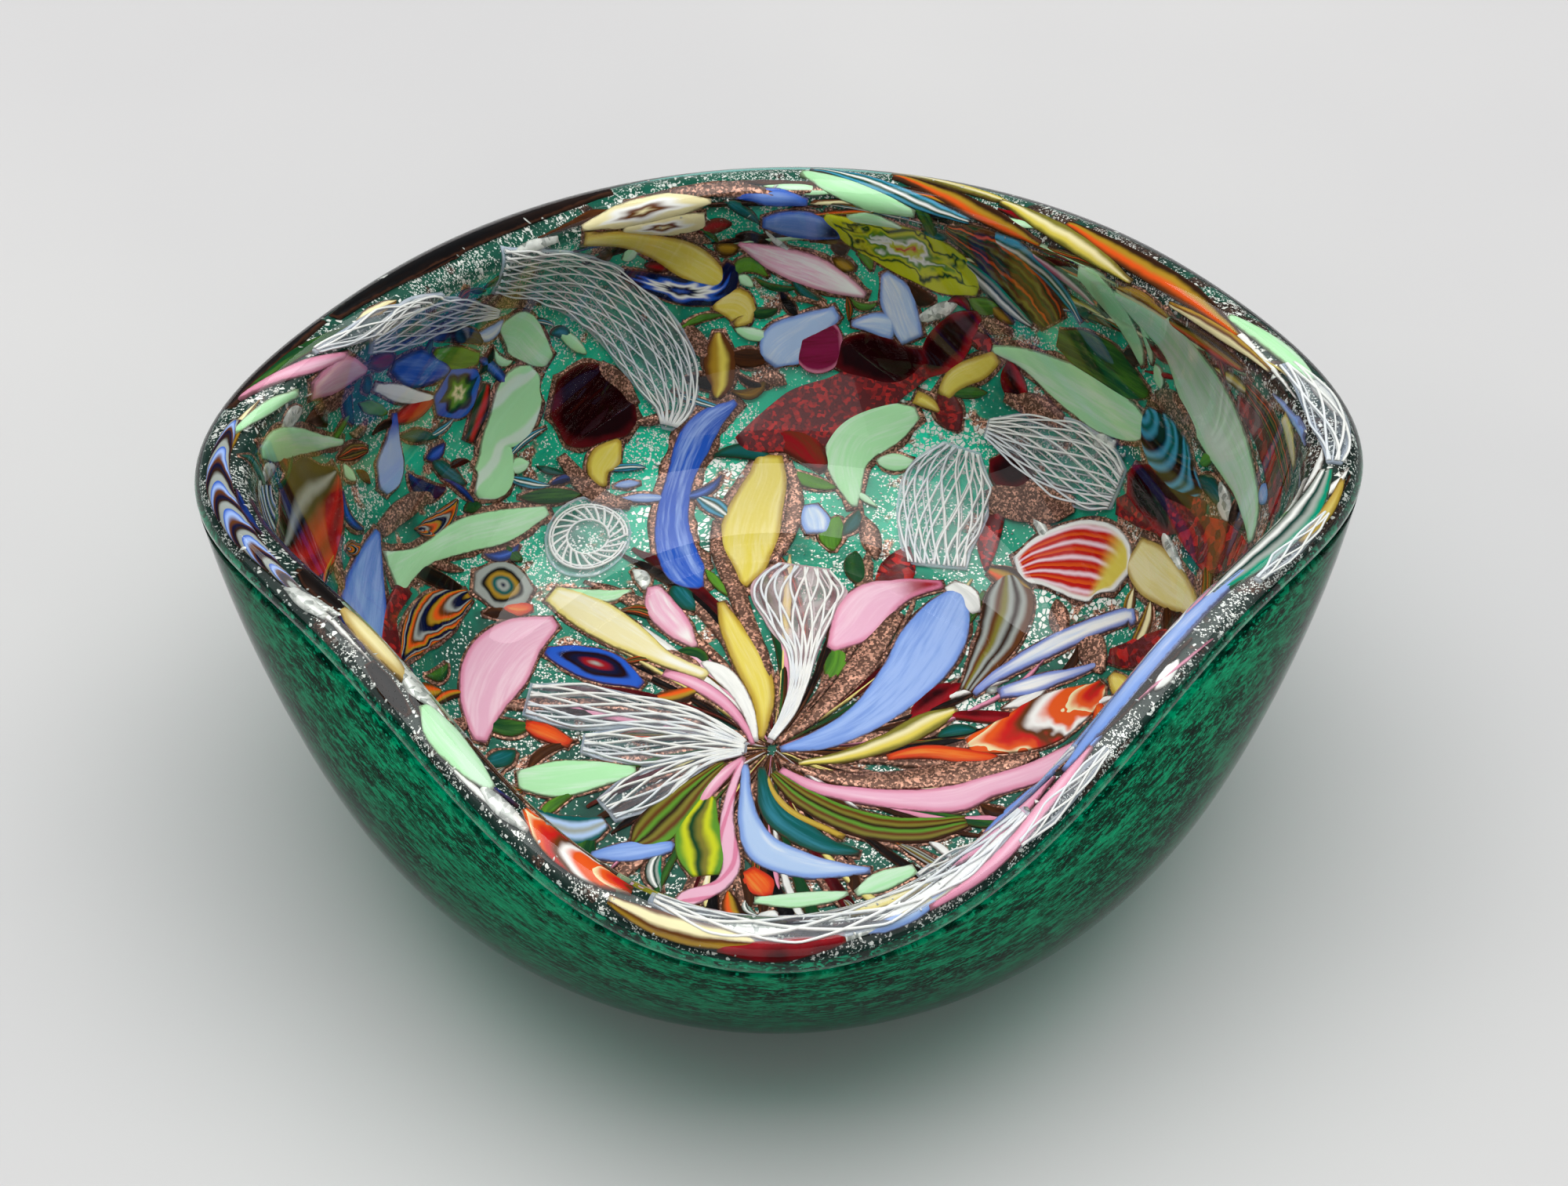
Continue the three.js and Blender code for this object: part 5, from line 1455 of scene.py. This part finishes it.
def streak_lines(rng):
    """Streaks along the rim and arms in the swirl: look and centre line of each."""
    made = []
    for first, last, near, far, count, names in RIM_STREAKS:
        looks = names.split()
        for k in range(count):
            reach = rng.uniform(near, far)
            turn = rng.uniform(0.08, 0.34)
            start = math.radians(rng.uniform(first, last))
            half, drift = rng.uniform(0.25, 1.3), rng.normal(0, 1.6)
            line = [[(reach + drift * t) * math.cos(start + turn * t),
                     (reach + drift * t) * math.sin(start + turn * t), half * width]
                    for t, width in ((0, 0.1), (0.25, 0.8), (0.5, 1), (0.75, 0.7), (1, 0.1))]
            made.append((looks[k % len(looks)], line))
    for k in range(SWIRL_ARMS):
        start = 2 * np.pi * (k + rng.uniform(0, 0.8)) / SWIRL_ARMS
        long, curl = rng.uniform(14, 44), rng.normal(0.008, 0.004)
        half = rng.uniform(0.35, 1.2)
        line = [[SWIRL[0] + long * t * math.cos(start + curl * long * t),
                 SWIRL[1] + long * t * math.sin(start + curl * long * t), half * width]
                for t, width in ((0.05, 0.12), (0.3, 0.35), (0.6, 0.8), (0.85, 1), (1, 0.2))]
        made.append((ARM_LOOKS[k % len(ARM_LOOKS)], line))
    return made


def join_by_look(prefix, entries, top, seed):
    """Joins many small chips into one object for each look."""
    kinds = {}
    for k, (look, line) in enumerate(entries):
        strip = Strip(line, ragged=CRUMB_RAGGED, rng=np.random.default_rng(seed + k))
        kinds.setdefault(look, []).append(
            patch(strip, 4, top, CHIP_UNDERSIDE, 0.25, seed=k * CRUMB_PATTERN))
    for look, patches in kinds.items():
        own(join_patches(f"{prefix}_{look}", patches, [LOOKS[look]]))


def make_borders(name, entries):
    """The copper aventurine that squeezes out round the chips, as one ragged layer."""
    patches = []
    for k, (border, points) in enumerate(entries):
        rng = np.random.default_rng(BORDER_SEED + k)
        if max(math.hypot(*p[:2]) for p in points) < SWIRL_REACH:
            border = min(border, SWIRL_BORDER)
        strip = Strip(points, grow=border, ragged=0.4 * min(border, 1.0), rng=rng,
                      spread=CHIP_SPREAD)
        patches.append(patch(strip, 6, BORDER_DEPTH[1], BORDER_DEPTH[0], 0.12,
                             seed=k * BORDER_PATTERN))
    return join_patches(name, patches, [LOOKS["copper"]])


def on_lip(x, y, depth):
    """Places a point given in millimetres round the lip and over it."""
    over = np.clip(y / LIP_WAY, -0.2, 1.0)
    return collage_point(x / LIP_RADIUS, REACH + over * (LIP_REACH - REACH), depth)


def flake_mesh(name, places, sizes, rng, depth, material):
    """Many small irregular leaves of foil, each a thin faceted pebble."""
    points, faces, lie = [], [], []
    for (x, y), size in zip(places, sizes):
        count = rng.integers(4, 7)
        angles = np.sort(rng.uniform(0, 2 * np.pi, count))
        reach = size * rng.uniform(0.6, 1.15, count)
        px, py = x + reach * np.cos(angles), y + reach * np.sin(angles) * 0.8
        tilt = rng.uniform(-0.06, 0.1, count)
        ring = plan_point(px, py, depth + 0.05 + tilt)
        foot = plan_point(px, py, np.full(count, depth - 0.1))
        crown = plan_point(x, y, depth + 0.16 + 0.08 * size)
        base = len(points)
        points += [*ring, *foot, crown]
        lie += [(x, y, base * 0.013)] * (2 * count + 1)
        for i in range(count):
            k = (i + 1) % count
            faces.append((base + k, base + i, base + 2 * count))
            faces.append((base + i, base + k, base + count + k, base + count + i))
        faces.append(tuple(base + count + i for i in range(count)))
    return link_mesh(name, np.array(points), faces, [material], None,
                     np.zeros((len(points), 2)), lie=np.array(lie))


# ---------------- settings

class BowlGlass(bpy.types.PropertyGroup):
    """Colours of the two casings."""

    inner_tint: bpy.props.FloatVectorProperty(
        name="Inner tint", description="Colour of the clear inner casing", size=3,
        subtype="COLOR", min=0, max=1, default=(0.985, 0.995, 0.985))
    outer_tint: bpy.props.FloatVectorProperty(
        name="Outer tint", description="Colour of the emerald outer casing", size=3,
        subtype="COLOR", min=0, max=1, default=(0.12, 0.8, 0.66))


class BowlCollage(bpy.types.PropertyGroup):
    """How thickly foil lies in the collage."""

    fine_flakes: bpy.props.IntProperty(
        name="Fine flakes", description="Number of small silver flakes", min=0,
        default=2600)
    large_flakes: bpy.props.IntProperty(
        name="Large flakes", description="Number of larger silver leaves", min=0,
        default=70)
    crumb_tries: bpy.props.IntProperty(
        name="Crumb tries", description="How many places are tried for a filling crumb",
        min=1, default=2600)
    flake_size: bpy.props.FloatProperty(
        name="Flake size", description="Mean half width of a small flake, in millimetres",
        min=0.05, default=0.2)


class BowlStage(bpy.types.PropertyGroup):
    """The table, lamps and camera."""

    camera_distance: bpy.props.FloatProperty(
        name="Camera distance", description="Camera to the middle of the base",
        unit="LENGTH", subtype="DISTANCE", default=0.730)
    camera_height: bpy.props.FloatProperty(
        name="Camera elevation", description="Angle of the camera above the table",
        subtype="ANGLE", default=math.radians(49))
    lens: bpy.props.FloatProperty(
        name="Lens", description="Focal length in millimetres", default=123.16)
    lamp_power: bpy.props.FloatProperty(
        name="Lamp power", description="Power of the large soft lamp", subtype="POWER",
        default=28.0)


# ---------------- operators

class BOWL_OT_glasses(bpy.types.Operator):
    """Mix every glass and metal that the bowl is made of"""

    bl_idname = "bowl.glasses"
    bl_label = "Mix Glasses"

    def execute(self, context):
        glass = context.scene.bowl_glass
        build_groups()
        build_looks()
        tinted_glass("clear_casing_glass", (*glass.inner_tint, 1), 1.42)
        tinted_glass("emerald_casing_glass", (*glass.outer_tint, 1), 1.1)
        fused_face("fused_face")
        emerald_depth()
        foil_ground()
        backdrop_paper()
        return {"FINISHED"}


class BOWL_OT_outer_casing(bpy.types.Operator):
    """Build the emerald outer casing"""

    bl_idname = "bowl.outer_casing"
    bl_label = "Outer Casing"

    def execute(self, context):
        shares = wall_shares()
        rings = [(s, 0, 0, 0) for s in shares]
        rings[-1] = (1, 0, 0, 1)
        rings += [(s, OUTER_CASING, 0, 1) for s in shares[::-1]]
        obj = shell("emerald_casing", rings, mixed("emerald_casing_glass", "fused_face"))
        own(obj, "green_outer_casing")
        return {"FINISHED"}


class BOWL_OT_foil(bpy.types.Operator):
    """Build the foil ground between the casings, and the flakes that lie on it"""

    bl_idname = "bowl.foil"
    bl_label = "Foil Ground"

    def execute(self, context):
        collage = context.scene.bowl_collage
        shares = wall_shares()
        rings = [(s, FOIL_OUTER, 0, 0) for s in shares]
        over = np.linspace(LIP_REACH / REACH, 1, ROLL_RINGS)
        rings += [(s, GROUND_DEPTH, None, 1) for s in over[:-1]]
        rings += [(s, GROUND_DEPTH, None, 1) for s in shares[::-1]]
        obj = shell("foil_layer", rings, mixed("emerald_depth", "foil_ground"))
        own(obj, "silver_foil_ground")
        rng = np.random.default_rng(SEED)
        drift_count, drift_spread, flake_spread, farthest = 60, 42, 7.5, 100
        drifts = rng.normal(size=(drift_count, 2)) * drift_spread
        drift = drifts[rng.integers(0, len(drifts), collage.fine_flakes)]
        places = drift + rng.normal(size=drift.shape) * flake_spread
        reach = np.hypot(places[:, 0], places[:, 1])
        places = places[reach < farthest]
        sizes = collage.flake_size * rng.lognormal(0, 0.4, len(places))
        flakes = flake_mesh("silver_flakes_fine", places, sizes, rng, FLAKE_DEPTH,
                            LOOKS["silver"])
        own(flakes)
        spots = [(-10, 50), (-17, 52), (20, 10), (24, 14), (42, 20), (13, 31), (58, 45),
                 (28, 58), (-9, 38), (14, 0)]
        leaf_size, leaf_spread, leaf_lift = 0.55, 4.5, 0.3
        picked = np.array(spots)[rng.integers(0, len(spots), collage.large_flakes)]
        places = picked + rng.normal(size=picked.shape) * leaf_spread
        sizes = leaf_size * rng.lognormal(0, 0.35, len(places))
        leaves = flake_mesh("silver_leaves_large", places, sizes, rng,
                            FLAKE_DEPTH + leaf_lift, LOOKS["silver"])
        own(leaves)
        return {"FINISHED"}


class BOWL_OT_chips(bpy.types.Operator):
    """Build the chips of patterned cane that the solid model holds"""

    bl_idname = "bowl.chips"
    bl_label = "Cane Chips"

    def execute(self, context):
        borders = []
        for k, (node, look, border, points, *rest) in enumerate(CHIPS):
            if points == "round":
                points = round_points(*rest[0])
            obj = make_chip(node + "_chip", look, points, k + 1)
            own(obj, node)
            if not look.startswith("lattice"):
                borders.append((border, points))
        own(make_borders("aventurine_borders", borders))
        return {"FINISHED"}


class BOWL_OT_slivers(bpy.types.Operator):
    """Build the slivers and crumbs between the chips, and those of the front wall"""

    bl_idname = "bowl.slivers"
    bl_label = "Slivers"

    def execute(self, context):
        borders = []
        for k, (look, border, points) in enumerate(SLIVERS):
            obj = make_chip(f"sliver_{k:02d}_{look}", look, points, SLIVER_SEED + k,
                            top=SLIVER_TOP)
            own(obj)
            if border and not look.startswith("lattice"):
                borders.append((border, points))
        # chips high on the back wall, from which those of the front wall are turned round
        front = [entry for entry in CHIPS if entry[3] != "round"
                 and min(math.hypot(*p[:2]) for p in entry[3]) > FRONT_REACH
                 and not entry[0].endswith("front") and entry[3][0][1] > FRONT_BACK]
        for k, (node, look, border, points) in enumerate(front):
            turned = [[-x, -y, w] for x, y, w in points]
            obj = make_chip(f"front_{node}", look, turned, FRONT_SEED + k, top=FRONT_TOP)
            own(obj)
            borders.append((border, turned))
        rng = np.random.default_rng(FILLING_SEED)
        lines = [points if points != "round" else round_points(*rest[0])
                 for _, _, _, points, *rest in CHIPS]
        lines += [points for _, _, points in SLIVERS]
        lines += [line for _, line in borders[-len(front):]]
        crumbs = filling_lines(rng, lines, context.scene.bowl_collage.crumb_tries)
        join_by_look("crumbs", crumbs, CRUMB_TOP, CRUMB_SEED)
        join_by_look("streaks", streak_lines(rng), STREAK_TOP, STREAK_SEED)
        # every other crumb has a narrow copper border
        borders += [(0.35, line) for look, line in crumbs[::2] if look != "copper"]
        own(make_borders("aventurine_seams", borders))
        return {"FINISHED"}


class BOWL_OT_lip(bpy.types.Operator):
    """Build the chips and foil that roll over the lip under the clear glass"""

    bl_idname = "bowl.lip"
    bl_label = "Lip Chips"

    def execute(self, context):
        for k, (look, points) in enumerate(LIP_CHIPS):
            line = [[math.radians(a) * LIP_RADIUS, way * LIP_WAY, w * LIP_CHIP_WIDTH]
                    for a, way, w in points]
            obj = make_chip(f"lip_{k:02d}_{look}", look, line, LIP_CHIP_SEED + k, place=on_lip)
            own(obj)
        rng = np.random.default_rng(LIP_FLAKE_SEED)
        # 200 flakes on the front left of the lip, and 170 all round it
        heading = np.radians(np.concatenate([rng.uniform(185, 290, 200),
                                             rng.uniform(0, 360, 170)]))
        reach = rng.uniform(103, 114.5, len(heading))
        places = np.stack([reach * np.cos(heading), reach * np.sin(heading)], axis=-1)
        sizes = 0.42 * rng.lognormal(0, 0.45, len(places))
        flakes = flake_mesh("silver_flakes_lip", places, sizes, rng, LIP_FLAKE_DEPTH,
                            LOOKS["silver"])
        own(flakes)
        return {"FINISHED"}


class BOWL_OT_inner_casing(bpy.types.Operator):
    """Build the clear inner casing and its rounded lip"""

    bl_idname = "bowl.inner_casing"
    bl_label = "Inner Casing"

    def execute(self, context):
        shares = wall_shares()
        rings = [(s, INNER_CASING, 0, 1) for s in shares]
        rings += [(1, INNER_CASING, FUSE_GAP, 1), (1, 0, FUSE_GAP, 0)]
        for i in range(1, LIP_STEPS):
            angle = math.pi * i / LIP_STEPS
            rings.append((1, WALL * (1 - math.cos(angle)) / 2,
                          FUSE_GAP + LIP_CROWN * math.sin(angle), 0))
        rings += [(s, WALL, 0, 0) for s in shares[::-1]]
        obj = shell("clear_casing", rings, mixed("clear_casing_glass", "fused_face"))
        own(obj, "clear_inner_casing")
        return {"FINISHED"}


class BOWL_OT_stage(bpy.types.Operator):
    """Lay the paper, hang the lamps and set the camera"""

    bl_idname = "bowl.stage"
    bl_label = "Stage"

    def execute(self, context):
        stage = context.scene.bowl_stage
        low, high = CAD_BOX
        middle = ((low[0] + high[0]) / 2, (low[1] + high[1]) / 2)
        half_side, push_back = 1.6, 0.4
        grid = np.linspace(-half_side, half_side, 25)
        x, y = np.meshgrid(grid, grid)
        points = np.stack([x + middle[0], y + middle[1] + push_back,
                           np.full_like(x, low[2])], axis=-1).reshape(-1, 3)
        n = len(grid)
        faces = [(j * n + i, j * n + i + 1, (j + 1) * n + i + 1, (j + 1) * n + i)
                 for j in range(n - 1) for i in range(n - 1)]
        paper = link_mesh("paper_floor", points, faces, mixed("backdrop_paper"))

        # each lamp's place and size in metres, and its share of the lamp power
        lamps = [
            ("overhead_softbox", (0.0, 0.2, 1.5), (2.2, 1.5), 1.0),
            ("front_softbox", (0.0, -1.5, 1.25), (1.6, 0.9), 0.12),
            ("left_softbox", (-1.7, -0.2, 1.0), (1.0, 1.2), 0.1),
            ("right_softbox", (1.7, -0.2, 1.0), (1.0, 1.2), 0.1),
        ]
        for name, place, size, share in lamps:
            data = bpy.data.lights.new(name, "AREA")
            data.shape = "RECTANGLE"
            data.size, data.size_y = size
            data.energy = stage.lamp_power * share
            lamp = bpy.data.objects.new(name, data)
            lamp.location = place
            aim = Vector((middle[0], middle[1], 0.02)) - lamp.location
            lamp.rotation_euler = aim.to_track_quat("-Z", "Y").to_euler()
            context.scene.collection.objects.link(lamp)

        world = bpy.data.worlds.new("studio_air")
        world.use_nodes = True
        tree = world.node_tree
        back = tree.nodes["Background"]
        up = add_node(tree, "ShaderNodeSeparateXYZ",
                      Vector=add_node(tree, "ShaderNodeTexCoord").outputs["Generated"])
        tree.links.new(ramp(tree, up.outputs[2], [(0.0, rgb(150, 152, 156)),
                                                  (0.5, rgb(110, 112, 116)),
                                                  (1.0, rgb(170, 172, 176))]),
                       back.inputs["Color"])
        back.inputs["Strength"].default_value = 0.34
        context.scene.world = world

        data = bpy.data.cameras.new("studio_camera")
        data.lens = stage.lens
        data.sensor_width = 36.0
        data.clip_start, data.clip_end = 0.01, 20.0
        camera = bpy.data.objects.new("studio_camera", data)
        distance, rise = stage.camera_distance, stage.camera_height
        shift = middle[0] + CENTRING * MM
        camera.location = (shift, middle[1] - distance * math.cos(rise),
                           low[2] + distance * math.sin(rise))
        aim_right, aim_up = 0.00102, 0.0333
        target = Vector((shift + aim_right, middle[1], low[2] + aim_up))
        camera.rotation_euler = (target - camera.location).to_track_quat("-Z", "Y").to_euler()
        context.scene.collection.objects.link(camera)
        context.scene.camera = camera
        context.scene.view_settings.view_transform = "Standard"
        return {"FINISHED"}


class BOWL_PT_panel(bpy.types.Panel):
    """The bowl's settings and steps"""

    bl_idname = "BOWL_PT_panel"
    bl_label = "Glass Bowl"
    bl_space_type = "VIEW_3D"
    bl_region_type = "UI"
    bl_category = "Glass Bowl"

    def draw(self, context):
        layout = self.layout
        for settings in (context.scene.bowl_glass, context.scene.bowl_collage,
                         context.scene.bowl_stage):
            box = layout.box()
            for key in settings.__annotations__:
                box.prop(settings, key)
        for operator in OPERATORS:
            layout.operator(operator.bl_idname)


SETTINGS = {"bowl_glass": BowlGlass, "bowl_collage": BowlCollage, "bowl_stage": BowlStage}
OPERATORS = (BOWL_OT_glasses, BOWL_OT_outer_casing, BOWL_OT_foil, BOWL_OT_chips,
             BOWL_OT_slivers, BOWL_OT_lip, BOWL_OT_inner_casing, BOWL_OT_stage)


def register():
    """Registers the settings, operators and panel."""
    for cls in (*SETTINGS.values(), *OPERATORS, BOWL_PT_panel):
        bpy.utils.register_class(cls)
    for name, group in SETTINGS.items():
        setattr(bpy.types.Scene, name, bpy.props.PointerProperty(type=group))


def unregister():
    """Takes them away again."""
    for name in SETTINGS:
        delattr(bpy.types.Scene, name)
    for cls in reversed((*SETTINGS.values(), *OPERATORS, BOWL_PT_panel)):
        bpy.utils.unregister_class(cls)


def main():
    """Builds the whole bowl."""
    register()
    bpy.ops.bowl.glasses()
    bpy.ops.bowl.outer_casing()
    bpy.ops.bowl.foil()
    bpy.ops.bowl.chips()
    bpy.ops.bowl.slivers()
    bpy.ops.bowl.lip()
    bpy.ops.bowl.inner_casing()
    bpy.ops.bowl.stage()


if __name__ == "__main__":
    main()
